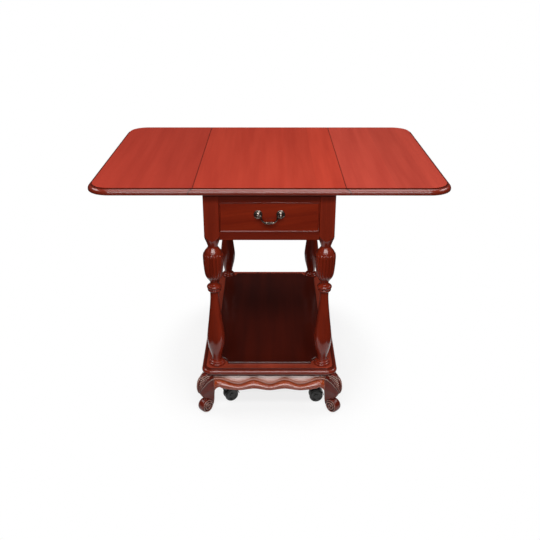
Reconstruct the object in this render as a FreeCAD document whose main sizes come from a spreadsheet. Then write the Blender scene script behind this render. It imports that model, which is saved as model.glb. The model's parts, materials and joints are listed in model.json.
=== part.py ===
import FreeCAD, Part
import math
import os
import re

import Sketcher
from FreeCAD import Placement, Rotation, Vector

# Drop leaf tea trolley in millimetres: +Z up, the drawer faces -Y, the origin on the floor under the middle.

SIZES = (
    # top and leaves
    ("top_height", 710, "floor to the upper face of the top"),
    ("top_depth", 700, "front to back over the mouldings"),
    ("open_width", 980, "left to right with both leaves up"),
    ("seam_over", 24.5, "outer face of the legs to a rule joint seam"),
    ("top_thick", 18, "thickness of top and leaves"),
    ("mould_inset", 12, "moulding from its lip to the fillet step"),
    ("mould_step", 3, "height of the fillet step"),
    ("mould_round", 10.5, "radius of the thumbnail above"),
    ("mould_under", 3, "radius of the thumbnail below"),
    ("leaf_corner", 65, "radius of the leaf corners"),
    ("joint_radius", 12, "ovolo of the rule joint"),
    ("joint_gap", 0.5, "running gap between ovolo and cove"),
    ("knuckle_radius", 3, "hinge barrel, and hinge axis above the underside"),
    # hinges
    ("hinge_end", 150, "end of the top to the middle of a hinge"),
    ("hinge_long", 60, "length of a hinge"),
    ("hinge_thick", 1.5, "thickness of the hinge plates"),
    ("hinge_fixed_width", 24, "hinge axis to the end of the fixed plate"),
    ("hinge_leaf_width", 45, "hinge axis to the end of the leaf plate"),
    ("hinge_pin_radius", 1.5, "hinge pin"),
    ("pin_gap", 0.05, "radial running clearance of pins"),
    ("side_gap", 0.5, "gap between knuckles along the pin"),
    # frame
    ("leg_inset_x", 45, "side edge of the platform to the leg axis"),
    ("leg_inset_y", 42, "front or back edge of the platform to the leg axis"),
    ("block_side", 42, "square block of the leg"),
    ("reed_count", 16, "reeds round the vase of the leg"),
    ("reed_deep", 2.2, "depth of the hollows between the reeds"),
    ("rail_deep", 134, "rails, below the underside of the top"),
    ("rail_thick", 18, "thickness of side and back rails"),
    ("front_rail_deep", 42, "depth of the two front rails"),
    ("sill_down", 111, "underside of the top to the bottom of the drawer opening"),
    ("head_down", 24, "underside of the top to the head of the drawer opening"),
    # base
    ("base_width", 404, "platform over its moulding"),
    ("base_top", 151, "floor to the platform"),
    ("base_thick", 17, "thickness of the platform"),
    ("base_corner", 31, "radius of the platform corners"),
    ("base_inset", 14, "platform moulding from lip to step"),
    ("base_round", 9, "radius of the platform moulding above"),
    ("base_under", 4, "radius of the platform moulding below"),
    ("panel_inset", 36, "platform edge to the raised panel"),
    ("panel_thick", 6, "raised shelf panel"),
    ("panel_round", 3.5, "rounding of the panel edge"),
    ("scoop_radius", 40, "scooped corner of the panel"),
    # apron
    ("apron_back", 8, "apron face behind the platform edge"),
    ("apron_thick", 20, "thickness of the apron behind its face"),
    ("apron_slope", 9, "sloping field of the apron, from its upper edge out to the bead line"),
    ("apron_low", 77.5, "floor to the mean lower edge of the apron"),
    ("apron_wave", 2.8, "height of the wave of the lower edge, each way"),
    ("bead_line", 107, "floor to the mean of the waved bead line"),
    ("line_wave", 7.5, "height of the wave of the bead line, each way"),
    ("wave_long", 92, "length of one wave"),
    # feet
    ("foot_reach", 37, "platform edge to the inner side of the foot"),
    ("foot_lift", 1, "foot above the floor, the casters carry the load"),
    ("scroll_radius", 21.5, "scroll of the toe"),
    ("scroll_wide", 30, "scroll from cheek to cheek"),
    ("scroll_inset", 8.5, "platform edge to the middle of the scroll"),
    # drawer
    ("drawer_gap", 0.8, "gap round the drawer front"),
    ("slide_gap", 0.3, "gap under the sliding drawer"),
    ("front_thick", 18, "drawer front"),
    ("front_back", 1, "drawer front behind the face of the legs"),
    ("bead_wide", 4, "width of the cock bead"),
    ("bead_out", 2.5, "cock bead before the drawer front"),
    ("bead_deep", 8, "rabbet that holds the cock bead"),
    ("bead_round", 1.6, "rounding of the cock bead"),
    ("drawer_room", 35, "back of the drawer box to the inner faces of the back legs"),
    ("drawer_side_thick", 12, "drawer sides and back"),
    ("drawer_side_high", 78, "height of the drawer sides"),
    ("bottom_thick", 5, "drawer bottom"),
    ("bottom_up", 8, "drawer bottom above the lower edge of the sides"),
    ("groove_deep", 5, "groove of the drawer bottom in the sides"),
    ("runner_wide", 42, "runner and kicker, from the side rail inwards"),
    ("guide_high", 18, "guide beside the drawer, above the runner"),
    ("stop_high", 5, "height of the drawer stops"),
    # drawer pull
    ("pull_spread", 61, "between the two roses"),
    ("pull_down", 60, "underside of the top to the pivot of the bail"),
    ("rose_radius", 12, "rose of the pull"),
    ("ball_radius", 5.5, "knob that holds the bail"),
    ("ball_out", 12, "pivot of the bail before the drawer front"),
    ("shank_radius", 2.5, "threaded shank of the pull"),
    ("bail_radius", 2.2, "rod of the bail"),
    ("bail_drop", 20, "pivot to the grip of the bail"),
    ("bail_bend", 2.8, "bend of the bail beside the knob"),
    # leaf stays
    ("stay_long", 150, "pivot to stud of the stay arm"),
    ("stay_in", 16, "stay pivot inboard of the hinge axis"),
    ("stay_down", 60, "stay pivot below the hinge axis"),
    ("slot_down", 11, "slot of the track below the hinge axis"),
    ("stay_thick", 2.5, "stay arm"),
    ("stay_wide", 12, "width of the stay arm"),
    ("stay_end", 230, "end of the top to a stay"),
    ("bracket_wide", 22, "plate of the stay bracket, beside its ear"),
    ("bracket_high", 36, "height of the plate of the stay bracket"),
    ("track_start", 112, "hinge axis to the near end of the track"),
    ("track_stop", 224, "hinge axis to the far end of the track"),
    ("track_end", 10, "end of the track to its slot"),
    ("track_high", 14, "web and foot of the track"),
    ("stay_pin_radius", 2.5, "pin and stud of the stay"),
    ("metal_thick", 2, "sheet of bracket and track"),
    # casters
    ("caster_inset_x", 70, "side edge of the platform to the caster stem"),
    ("caster_inset_y", 66, "front or back edge of the platform to the caster stem"),
    ("wheel_radius", 21, "wheel of the caster"),
    ("wheel_trail", 12, "axle behind the stem"),
    ("caster_wide", 29, "over both wheels"),
    ("web_half", 3.5, "half the web between the wheels"),
    ("axle_radius", 3, "axle of the caster"),
    ("stem_radius", 4, "stem of the caster"),
    ("stem_long", 20, "length of the stem"),
    ("block_bottom", 68, "floor to the caster block"),
    ("caster_block", 46, "side of the caster block"),
)

doc = FreeCAD.newDocument("tea_trolley")
sheet = doc.addObject("Spreadsheet::Sheet", "sizes")
for row, (alias, amount, note) in enumerate(SIZES, start=1):
    sheet.set(f"A{row}", alias)
    sheet.set(f"B{row}", str(amount))
    sheet.set(f"C{row}", note)
    sheet.setAlias(f"B{row}", alias)
doc.recompute()

ALIASES = {alias for alias, amount, note in SIZES}
AXES = {"x": Rotation(Vector(0, 1, 0), 90), "y": Rotation(Vector(1, 0, 0), -90), "z": Rotation()}
nodes = {}


# ---------------------------------------------------------------- helpers


def size(alias):
    """The value of one driving size."""
    return float(getattr(sheet, alias))


def formula(text):
    """Turns plain aliases into spreadsheet references."""
    def reference(match):
        word = match.group()
        return f"sizes.{word}" if word in ALIASES else word

    return re.sub(r"[a-z_]+", reference, str(text))


def place(thing, x=0, y=0, z=0, turn=0, rotation=None):
    """Puts a piece at a point given by formulas, turned about Z by a number of degrees."""
    thing.Placement = Placement(Vector(), rotation or Rotation(Vector(0, 0, 1), turn))
    for axis, text in zip("xyz", (x, y, z)):
        thing.setExpression(f"Placement.Base.{axis}", formula(text))
    return thing


def box(name, x, y, z):
    """A block between two formulas on each axis."""
    piece = doc.addObject("Part::Box", name)
    for side, (low, high) in zip(("Length", "Width", "Height"), (x, y, z)):
        piece.setExpression(side, formula(f"({high}) - ({low})"))
    return place(piece, x[0], y[0], z[0])


def rod(name, radius, long, x=0, y=0, z=0, axis="z"):
    """A cylinder that starts at a point and runs along +X, +Y or +Z."""
    piece = doc.addObject("Part::Cylinder", name)
    piece.setExpression("Radius", formula(radius))
    piece.setExpression("Height", formula(long))
    return place(piece, x, y, z, rotation=AXES[axis])


def fuse(name, *pieces):
    joined = doc.addObject("Part::MultiFuse", name)
    joined.Shapes = list(pieces)
    return joined


def cut(name, base, *tools):
    result = doc.addObject("Part::Cut", name)
    result.Base = base
    result.Tool = tools[0] if len(tools) == 1 else fuse(f"{name}_tools", *tools)
    return result


def group(name, *pieces):
    """Several solids, or one shared model, as one object with its own placement."""
    compound = doc.addObject("Part::Compound", name)
    compound.Links = list(pieces)
    return compound


def node(label, thing):
    """Marks an object as one of the finished sub-parts."""
    thing.Label = label
    nodes[label] = thing
    return thing


def new_body(name):
    return doc.addObject("PartDesign::Body", name)


def sketch_on(body, role, offset=0):
    """An empty sketch on one of the body's own planes, moved along the plane's normal."""
    plane = next(f for f in body.Origin.OriginFeatures if f.Role == role)
    sketch = body.newObject("Sketcher::SketchObject", f"{body.Name}_sketch")
    sketch.AttachmentSupport = (plane, [""])
    sketch.MapMode = "FlatFace"
    sketch.setExpression("AttachmentOffset.Base.z", formula(offset))
    return sketch


def draw(sketch, edges):
    """Adds finished curves to a sketch and holds them in place."""
    for edge in edges:
        index = sketch.addGeometry(edge, False)
        sketch.addConstraint(Sketcher.Constraint("Block", index))
    return sketch


def line(a, b):
    return Part.LineSegment(Vector(a[0], a[1], 0), Vector(b[0], b[1], 0))


def arc(a, middle, b):
    return Part.Arc(Vector(a[0], a[1], 0), Vector(middle[0], middle[1], 0), Vector(b[0], b[1], 0))


def curve(points, start=None, end=None):
    """A smooth curve through a few points, with end directions where they matter."""
    spline = Part.BSplineCurve()
    vectors = [Vector(p[0], p[1], 0) for p in points]
    if start:
        spline.interpolate(Points=vectors, InitialTangent=Vector(*start, 0), FinalTangent=Vector(*end, 0))
    else:
        spline.interpolate(Points=vectors)
    return spline


def circle(x, y, radius):
    return Part.Circle(Vector(x, y, 0), Vector(0, 0, 1), radius)


def polygon(points):
    return [line(a, b) for a, b in zip(points, points[1:] + points[:1])]


def rectangle(x_low, x_high, y_low, y_high):
    return polygon([(x_low, y_low), (x_high, y_low), (x_high, y_high), (x_low, y_high)])


def on_circle(centre, radius, degrees):
    angle = math.radians(degrees)
    return (centre[0] + radius * math.cos(angle), centre[1] + radius * math.sin(angle))


def rounded_outline(x_low, x_high, y_low, y_high, radius, corners):
    """A rectangle, anticlockwise from its lower left corner, with the listed corners rounded."""
    points = [(x_low, y_low), (x_high, y_low), (x_high, y_high), (x_low, y_high)]
    inward = [(1, 1), (-1, 1), (-1, -1), (1, -1)]
    edges = []
    ends = []
    for corner, (point, (dx, dy)) in enumerate(zip(points, inward)):
        if corner not in corners:
            ends.append((point, point))
            continue
        centre = (point[0] + dx * radius, point[1] + dy * radius)
        first = 180 + 90 * corner
        bend = [on_circle(centre, radius, first + turn) for turn in (0, 45, 90)]
        edges.append(arc(*bend))
        ends.append((bend[0], bend[2]))
    for corner in range(4):
        edges.append(line(ends[corner][1], ends[(corner + 1) % 4][0]))
    return edges


def centred_rectangle(sketch, width, depth):
    """A rectangle about the origin whose two sides are bound to formulas."""
    half = (50.0, 50.0)
    draw_lines = rectangle(-half[0], half[0], -half[1], half[1])
    for edge in draw_lines:
        sketch.addGeometry(edge, False)
    for index in range(4):
        sketch.addConstraint(Sketcher.Constraint("Coincident", index, 2, (index + 1) % 4, 1))
    for index, way in enumerate(("Horizontal", "Vertical", "Horizontal", "Vertical")):
        sketch.addConstraint(Sketcher.Constraint(way, index))
    sketch.addConstraint(Sketcher.Constraint("Symmetric", 0, 1, 2, 1, -1, 1))
    across = sketch.addConstraint(Sketcher.Constraint("DistanceX", 0, 1, 0, 2, 2 * half[0]))
    along = sketch.addConstraint(Sketcher.Constraint("DistanceY", 1, 1, 1, 2, 2 * half[1]))
    sketch.setExpression(f"Constraints[{across}]", formula(width))
    sketch.setExpression(f"Constraints[{along}]", formula(depth))
    return sketch


def pad(body, sketch, long, both=False, back=False):
    feature = body.newObject("PartDesign::Pad", f"{body.Name}_pad")
    feature.Profile = sketch
    feature.setExpression("Length", formula(long))
    feature.Midplane = both
    feature.Reversed = back
    doc.recompute()
    return feature


def pocket(body, sketch, long, both=False, back=False):
    """Cuts along the sketch normal, away from it when back is set, and checks that it removed something."""
    before = body.Shape.Volume
    feature = body.newObject("PartDesign::Pocket", f"{body.Name}_pocket")
    feature.Profile = sketch
    feature.setExpression("Length", formula(long))
    feature.Midplane = both
    feature.Reversed = not back
    doc.recompute()
    if feature.Shape.Volume > before - 0.01:
        raise ValueError(f"{feature.Name} cuts nothing")
    return feature


def revolve(body, sketch, axis="V_Axis", kind="Revolution"):
    feature = body.newObject(f"PartDesign::{kind}", f"{body.Name}_turned")
    feature.Profile = sketch
    feature.ReferenceAxis = (sketch, [axis])
    feature.Angle = 360
    doc.recompute()
    return feature


def round_edges(body, feature, radius, wanted):
    """Rounds the edges of the last feature that the test picks."""
    names = [f"Edge{i}" for i, edge in enumerate(feature.Shape.Edges, start=1) if wanted(edge)]
    if not names:
        raise ValueError(f"no edge to round on {body.Name}")
    rounding = body.newObject("PartDesign::Fillet", f"{body.Name}_round")
    rounding.Base = (feature, names)
    rounding.setExpression("Radius", formula(radius))
    doc.recompute()
    return rounding


def at_level(edge, level):
    return abs(edge.BoundBox.ZMin - level) < 0.01 and abs(edge.BoundBox.ZMax - level) < 0.01


def on_outline(edge, sketch):
    """True where the middle of a level edge lies over the drawn outline."""
    middle = edge.valueAt((edge.FirstParameter + edge.LastParameter) / 2)
    middle.z = sketch.Shape.BoundBox.ZMin
    return sketch.Shape.distToShape(Part.Vertex(middle))[0] < 0.01


def moulded_slab(body, outline, bottom, thick, inset, step, above, below, moulded):
    """A board with a fillet step and a thumbnail on the edges that moulded() picks.

    outline(inset) gives the plan at that distance inside the edge.
    """
    core = draw(sketch_on(body, "XY_Plane", bottom), outline(size(inset)))
    pad(body, core, thick)
    rim = draw(sketch_on(body, "XY_Plane", bottom), outline(0))
    nosing = pad(body, rim, f"{thick} - {step}")
    low = rim.Shape.BoundBox.ZMin
    high = low + size(thick) - size(step)
    lip = round_edges(body, nosing, above, lambda e: at_level(e, high) and on_outline(e, rim) and moulded(e))
    return round_edges(body, lip, below, lambda e: at_level(e, low) and on_outline(e, rim) and moulded(e))


# ---------------------------------------------------------------- places that several pieces share

UNDERSIDE = "(top_height - top_thick)"
AXIS_HIGH = "(top_height - top_thick + knuckle_radius)"
BASE_UNDER = "(base_top - base_thick)"
LEG_X = "(base_width / 2 - leg_inset_x)"
LEG_Y = "(top_depth / 2 - leg_inset_y)"
OUTER_X = f"({LEG_X} + block_side / 2)"
OUTER_Y = f"({LEG_Y} + block_side / 2)"
INNER_X = f"({LEG_X} - block_side / 2)"
INNER_Y = f"({LEG_Y} - block_side / 2)"
AXIS_SIDE = f"({OUTER_X} + seam_over)"
HINGE_Y = "(top_depth / 2 - hinge_end)"
STAY_Y = "(top_depth / 2 - stay_end)"
RAIL_LOW = f"({UNDERSIDE} - rail_deep)"
SILL = f"({UNDERSIDE} - sill_down)"
HEAD = f"({UNDERSIDE} - head_down)"
PULL_HIGH = f"({UNDERSIDE} - pull_down)"
CASTER_X = "(base_width / 2 - caster_inset_x)"
CASTER_Y = "(top_depth / 2 - caster_inset_y)"
RAIL_IN_X = f"({OUTER_X} - rail_thick)"
RAIL_IN_Y = f"({OUTER_Y} - rail_thick)"
FRONT_FACE = f"(-{OUTER_Y} + front_back)"
FRONT_REAR = f"({FRONT_FACE} + front_thick)"
BOX_REAR = f"({INNER_Y} - drawer_room)"

SIDES = (("left", -1), ("right", 1))
CORNERS = (("front_left", -1, -1), ("front_right", 1, -1), ("back_right", 1, 1), ("back_left", -1, 1))


def seam_side():
    """How far the rule joint seam, and the hinge axis, lie from the middle."""
    return size("base_width") / 2 - size("leg_inset_x") + size("block_side") / 2 + size("seam_over")


def under_top():
    return size("top_height") - size("top_thick")


# ---------------------------------------------------------------- top panel


def top_panel():
    """Fixed centre of the top: moulded front and back, an ovolo along both sides."""
    body = new_body("top_panel_body")
    axis = seam_side()
    radius = size("joint_radius")
    wide = axis + 2 * radius
    half = size("top_depth") / 2
    bottom = under_top()
    high = bottom + size("knuckle_radius")
    over = size("top_height") + 1
    moulded_slab(
        body,
        lambda inset: rectangle(-wide, wide, -half + inset, half - inset),
        UNDERSIDE, "top_thick", "mould_inset", "mould_step", "mould_round", "mould_under",
        lambda edge: edge.BoundBox.YLength < 0.01,
    )
    for side in (-1, 1):
        joint = sketch_on(body, "XZ_Plane")
        edges = [
            line((side * axis, over), (side * axis, high + radius)),
            arc(
                (side * axis, high + radius),
                (side * (axis + radius * math.sin(math.pi / 4)), high + radius * math.cos(math.pi / 4)),
                (side * (axis + radius), high),
            ),
            line((side * (axis + radius), high), (side * (axis + radius), bottom - 1)),
            line((side * (axis + radius), bottom - 1), (side * (wide + 1), bottom - 1)),
            line((side * (wide + 1), bottom - 1), (side * (wide + 1), over)),
            line((side * (wide + 1), over), (side * axis, over)),
        ]
        pocket(body, draw(joint, edges), "top_depth + 2", both=True)
    gouge = sketch_on(body, "XY_Plane", UNDERSIDE)
    seat = sketch_on(body, "XY_Plane", UNDERSIDE)
    slack = size("side_gap")
    for side in (-1, 1):
        for end in (-1, 1):
            middle = end * (half - size("hinge_end"))
            long = size("hinge_long") / 2 + slack
            rows = (middle - long, middle + long)
            gouge_x = sorted((side * (axis - size("knuckle_radius") - slack), side * (axis + radius + 1)))
            seat_x = sorted((side * (axis - size("hinge_fixed_width") - slack / 2), side * axis))
            draw(gouge, rectangle(*gouge_x, *rows))
            draw(seat, rectangle(*seat_x, *rows))
    pocket(body, gouge, "2 * knuckle_radius + side_gap")
    pocket(body, seat, "hinge_thick")
    return body


# ---------------------------------------------------------------- leaves, outwards from the hinge axis


def leaf_model():
    """A leaf lying level: its cove starts at x = 0 over the hinge axis, which is at z = 0."""
    body = new_body("leaf_body")
    radius = size("joint_radius") + size("joint_gap")
    long = size("open_width") / 2 - seam_side()
    half = size("top_depth") / 2
    bottom = -size("knuckle_radius")
    over = size("top_thick") - size("knuckle_radius") + 1
    lip = size("joint_gap")
    moulded_slab(
        body,
        lambda inset: rounded_outline(
            -radius, long - inset, -half + inset, half - inset, size("leaf_corner") - inset, (1, 2)
        ),
        "-knuckle_radius", "top_thick", "mould_inset", "mould_step", "mould_round", "mould_under",
        lambda edge: edge.BoundBox.XMax > 0,
    )
    turn = math.acos(lip / radius)
    joint = sketch_on(body, "XZ_Plane")
    edges = [
        line((lip, over), (lip, radius * math.sin(turn))),
        arc(
            (lip, radius * math.sin(turn)),
            on_circle((0, 0), radius, math.degrees(turn) / 2),
            (radius, 0),
        ),
        line((radius, 0), (radius, bottom - 1)),
        line((radius, bottom - 1), (-radius - 1, bottom - 1)),
        line((-radius - 1, bottom - 1), (-radius - 1, over)),
        line((-radius - 1, over), (lip, over)),
    ]
    pocket(body, draw(joint, edges), "top_depth + 2", both=True)
    seat = sketch_on(body, "XY_Plane", "-knuckle_radius")
    slack = size("side_gap") / 2
    for end in (-1, 1):
        middle = end * (half - size("hinge_end"))
        reach = size("hinge_long") / 2 + slack
        draw(seat, rectangle(0, size("hinge_leaf_width") + slack, middle - reach, middle + reach))
    pocket(body, seat, "hinge_thick")
    return body


def hinge_models():
    """Fixed plates, leaf plates and pins of the two hinges of one leaf, about the hinge axis."""
    fixed, moving, pins = [], [], []
    bottom = "-knuckle_radius"
    third = "(hinge_long / 3)"
    for end in (-1, 1):
        middle = f"({end} * {HINGE_Y})"
        low = f"({middle} - hinge_long / 2)"
        high = f"({middle} + hinge_long / 2)"
        tag = "front" if end < 0 else "back"
        inner = (f"{low} + {third}", f"{high} - {third}")
        plate_z = (bottom, f"{bottom} + hinge_thick")
        clear = "(knuckle_radius + 0.6)"
        outer = []
        for part, rows in enumerate(((low, f"{inner[0]} - side_gap"), (f"{inner[1]} + side_gap", high))):
            long = f"({rows[1]}) - ({rows[0]})"
            outer.append(rod(f"barrel_{tag}_{part}", "knuckle_radius", long, 0, rows[0], 0, "y"))
            outer.append(box(f"strap_{tag}_{part}", (f"-{clear}", "0"), rows, plate_z))
        flap = ("-hinge_fixed_width", f"-{clear}")
        outer.append(box(f"flap_{tag}", flap, (low, high), plate_z))
        bore = rod(f"bore_{tag}", "hinge_pin_radius + pin_gap", "hinge_long + 2", 0, f"{low} - 1", 0, "y")
        fixed.append(cut(f"fixed_hinge_{tag}", fuse(f"fixed_hinge_{tag}_all", *outer), bore))
        far = "(joint_radius + joint_gap)"
        long = f"({inner[1]}) - ({inner[0]})"
        whole = fuse(
            f"leaf_hinge_{tag}_all",
            rod(f"barrel_{tag}_leaf", "knuckle_radius", long, 0, inner[0], 0, "y"),
            box(f"strap_{tag}_leaf", ("0", far), inner, plate_z),
            box(f"flap_{tag}_leaf", (far, "hinge_leaf_width"), (low, high), plate_z),
        )
        bore = rod(f"bore_{tag}_leaf", "hinge_pin_radius", "hinge_long + 2", 0, f"{low} - 1", 0, "y")
        moving.append(cut(f"leaf_hinge_{tag}", whole, bore))
        pins.append(rod(f"hinge_pin_{tag}", "hinge_pin_radius", "hinge_long", 0, low, 0, "y"))
    return group("fixed_hinges", *fixed), group("leaf_hinges", *moving), group("hinge_rods", *pins)


def stay_models():
    """Brackets, arms and tracks of one side, about the hinge axis.

    An arm pivots on the bracket; its stud reaches to the slot of the track under the leaf.
    """
    rise = size("stay_down") - size("slot_down")
    angle = math.degrees(math.asin(rise / size("stay_long")))
    pivot = ("-stay_in", "-stay_down")
    rail = f"({OUTER_X} - {AXIS_SIDE})"
    gap = "side_gap"
    brackets, arms, tracks = [], [], []
    for end in (-1, 1):
        tag = "front" if end < 0 else "back"
        middle = f"({end} * {STAY_Y})"
        arm_low = f"({middle} - stay_thick / 2)"
        arm_high = f"({middle} + stay_thick / 2)"
        lug = (f"{arm_low} - {gap} - metal_thick", f"{arm_low} - {gap}")
        plate = box(f"bracket_plate_{tag}", (rail, f"{rail} + metal_thick"),
                    (f"{arm_low} - {gap} - bracket_wide", f"{arm_low} - {gap}"),
                    (f"{pivot[1]} - bracket_high / 2", f"{pivot[1]} + bracket_high / 2"))
        ear = box(f"bracket_ear_{tag}", (rail, pivot[0]), lug,
                  (f"{pivot[1]} - stay_wide / 2", f"{pivot[1]} + stay_wide / 2"))
        nose = rod(f"bracket_nose_{tag}", "stay_wide / 2", "metal_thick", pivot[0], lug[0], pivot[1], "y")
        pin = rod(f"bracket_pin_{tag}", "stay_pin_radius", f"metal_thick + stay_thick + 2 * {gap} + 1",
                  pivot[0], lug[0], pivot[1], "y")
        beside = f"{arm_high} + {gap}"
        head = rod(f"bracket_head_{tag}", "stay_pin_radius + 2", "1.5", pivot[0], beside, pivot[1], "y")
        brackets.append(fuse(f"bracket_{tag}", plate, ear, nose, pin, head))
        bar = box(f"arm_bar_{tag}", ("0", "stay_long"), ("-stay_thick / 2", "stay_thick / 2"),
                  ("-stay_wide / 2", "stay_wide / 2"))
        eye = rod(f"arm_eye_{tag}", "stay_wide / 2", "stay_thick", 0, "-stay_thick / 2", 0, "y")
        tip = rod(f"arm_tip_{tag}", "stay_wide / 2", "stay_thick", "stay_long", "-stay_thick / 2", 0, "y")
        stud = rod(f"arm_stud_{tag}", "stay_pin_radius", "stay_thick / 2 + 1.7", "stay_long", 0, 0, "y")
        bore = rod(
            f"arm_bore_{tag}", "stay_pin_radius + pin_gap", "stay_thick + 2",
            0, "-stay_thick / 2 - 1", 0, "y",
        )
        arm = cut(f"arm_{tag}", fuse(f"arm_{tag}_all", bar, eye, tip, stud), bore)
        arms.append(place(arm, *(pivot[0], middle, pivot[1]), rotation=Rotation(Vector(0, 1, 0), -angle)))
        flange = f"({middle} + stay_thick / 2 + 2)"
        reach = ("track_start", "track_stop")
        under = "-knuckle_radius"
        web_rows, web_levels = (flange, f"{flange} + metal_thick"), (f"{under} - track_high", under)
        foot_rows, foot_levels = (flange, f"{flange} + track_high"), (f"{under} - metal_thick", under)
        web = box(f"track_web_{tag}", reach, web_rows, web_levels)
        foot = box(f"track_foot_{tag}", reach, foot_rows, foot_levels)
        slot = box(
            f"track_slot_{tag}", ("track_start + track_end", "track_stop - track_end"),
            (f"{flange} - 1", f"{flange} + metal_thick + 1"),
            ("-slot_down - stay_pin_radius - 0.3", "-slot_down + stay_pin_radius + 0.3"),
        )
        tracks.append(cut(f"track_{tag}", fuse(f"track_{tag}_all", web, foot), slot))
    return group("brackets", *brackets), group("arms", *arms), group("tracks", *tracks)


def top_and_leaves():
    node("top_panel", top_panel())
    leaf = leaf_model()
    fixed, moving, pins = hinge_models()
    brackets, arms, tracks = stay_models()
    for side, way in SIDES:
        turn = 0 if way > 0 else 180
        spot = (f"{way} * {AXIS_SIDE}", 0, AXIS_HIGH, turn)
        for label, model in (
            (f"leaf_{side}", leaf),
            (f"hinge_plates_fixed_{side}", fixed),
            (f"hinge_plates_{side}", moving),
            (f"hinge_pins_{side}", pins),
            (f"stay_brackets_{side}", brackets),
            (f"stay_arms_{side}", arms),
            (f"stay_tracks_{side}", tracks),
        ):
            node(label, place(group(label, model), *spot))


# ---------------------------------------------------------------- legs and rails

LEG_FOOT = ((0, 22.5), (4, 24.5), (8, 21.5), (11, 20.5), (14, 18), (19, 14))
SHAFT = (
    (19, 14), (31, 16), (48, 20.3), (64, 23.9), (89, 26.5), (112, 24.6), (159, 18.6), (212, 12.6),
    (243, 11.6),
)
RING = ((243, 11.6), (254, 20.4), (266, 12))
VASE = ((268, 11), (276, 11.4), (290, 20.8), (310, 25.6), (336, 28), (360, 28.8))
SHOULDER = ((360, 28.4), (371, 23), (376, 17), (380, 13.8))
TONGUE = ((380, 13.8), (387, 15.4), (399, 19.6), (407, 23.6), (418, 30.5))


def leg_model():
    """A turned leg on its axis: foot ring, swelling shaft, ring, reeded vase and the square block."""
    body = new_body("leg_body")
    start = size("base_top")
    stretch = (under_top() - size("rail_deep") - start) / TONGUE[3][0]

    def up(points):
        return [(radius, start + stretch * high) for high, radius in points]

    block = centred_rectangle(sketch_on(body, "XY_Plane", f"{RAIL_LOW} - 28"), "block_side", "block_side")
    pad(body, block, "rail_deep + 28")
    tongue = up(TONGUE)
    outside = 2 * tongue[-1][0]
    low = tongue[0][1] - 5
    shape = [
        curve(tongue),
        line(tongue[-1], (outside, tongue[-1][1])),
        line((outside, tongue[-1][1]), (outside, low)),
        line((outside, low), (tongue[0][0], low)),
        line((tongue[0][0], low), tongue[0]),
    ]
    revolve(body, draw(sketch_on(body, "XZ_Plane"), shape), kind="Groove")
    foot = up(LEG_FOOT)
    ring = up(RING)
    vase = up(VASE)
    shoulder = up(SHOULDER)
    core = [(vase[0][0] - size("reed_deep"), vase[0][1]), (vase[0][0] - size("reed_deep"), vase[-1][1])]
    top = tongue[1][1]
    shape = [
        line((0, start), foot[0]),
        arc(foot[0], foot[1], foot[2]),
        arc(foot[2], foot[3], foot[4]),
        line(foot[4], foot[5]),
        curve(up(SHAFT)),
        arc(*ring),
        line(ring[2], core[0]),
        line(core[0], core[1]),
        line(core[1], shoulder[0]),
        curve(shoulder),
        line(tongue[0], (tongue[0][0], top)),
        line((tongue[0][0], top), (0, top)),
        line((0, top), (0, start)),
    ]
    revolve(body, draw(sketch_on(body, "XZ_Plane"), shape))
    rows = [draw(sketch_on(body, "XY_Plane", high), reeded(radius)) for radius, high in vase]
    reeds = body.newObject("PartDesign::AdditiveLoft", "reeded_vase")
    reeds.Profile = rows[0]
    reeds.Sections = rows[1:]
    doc.recompute()
    return body


def reeded(radius):
    """The outline of the reeded vase at one height: a ring of outward arcs."""
    count = int(size("reed_count"))
    step = 2 * math.pi / count
    hollow = radius - size("reed_deep") * min(1, radius / 20)
    edges = []
    for i in range(count):
        turns = ((i - 0.5) * step, i * step, (i + 0.5) * step)
        reach = (hollow, radius, hollow)
        edges.append(arc(*[(r * math.cos(t), r * math.sin(t)) for r, t in zip(reach, turns)]))
    return edges


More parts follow.
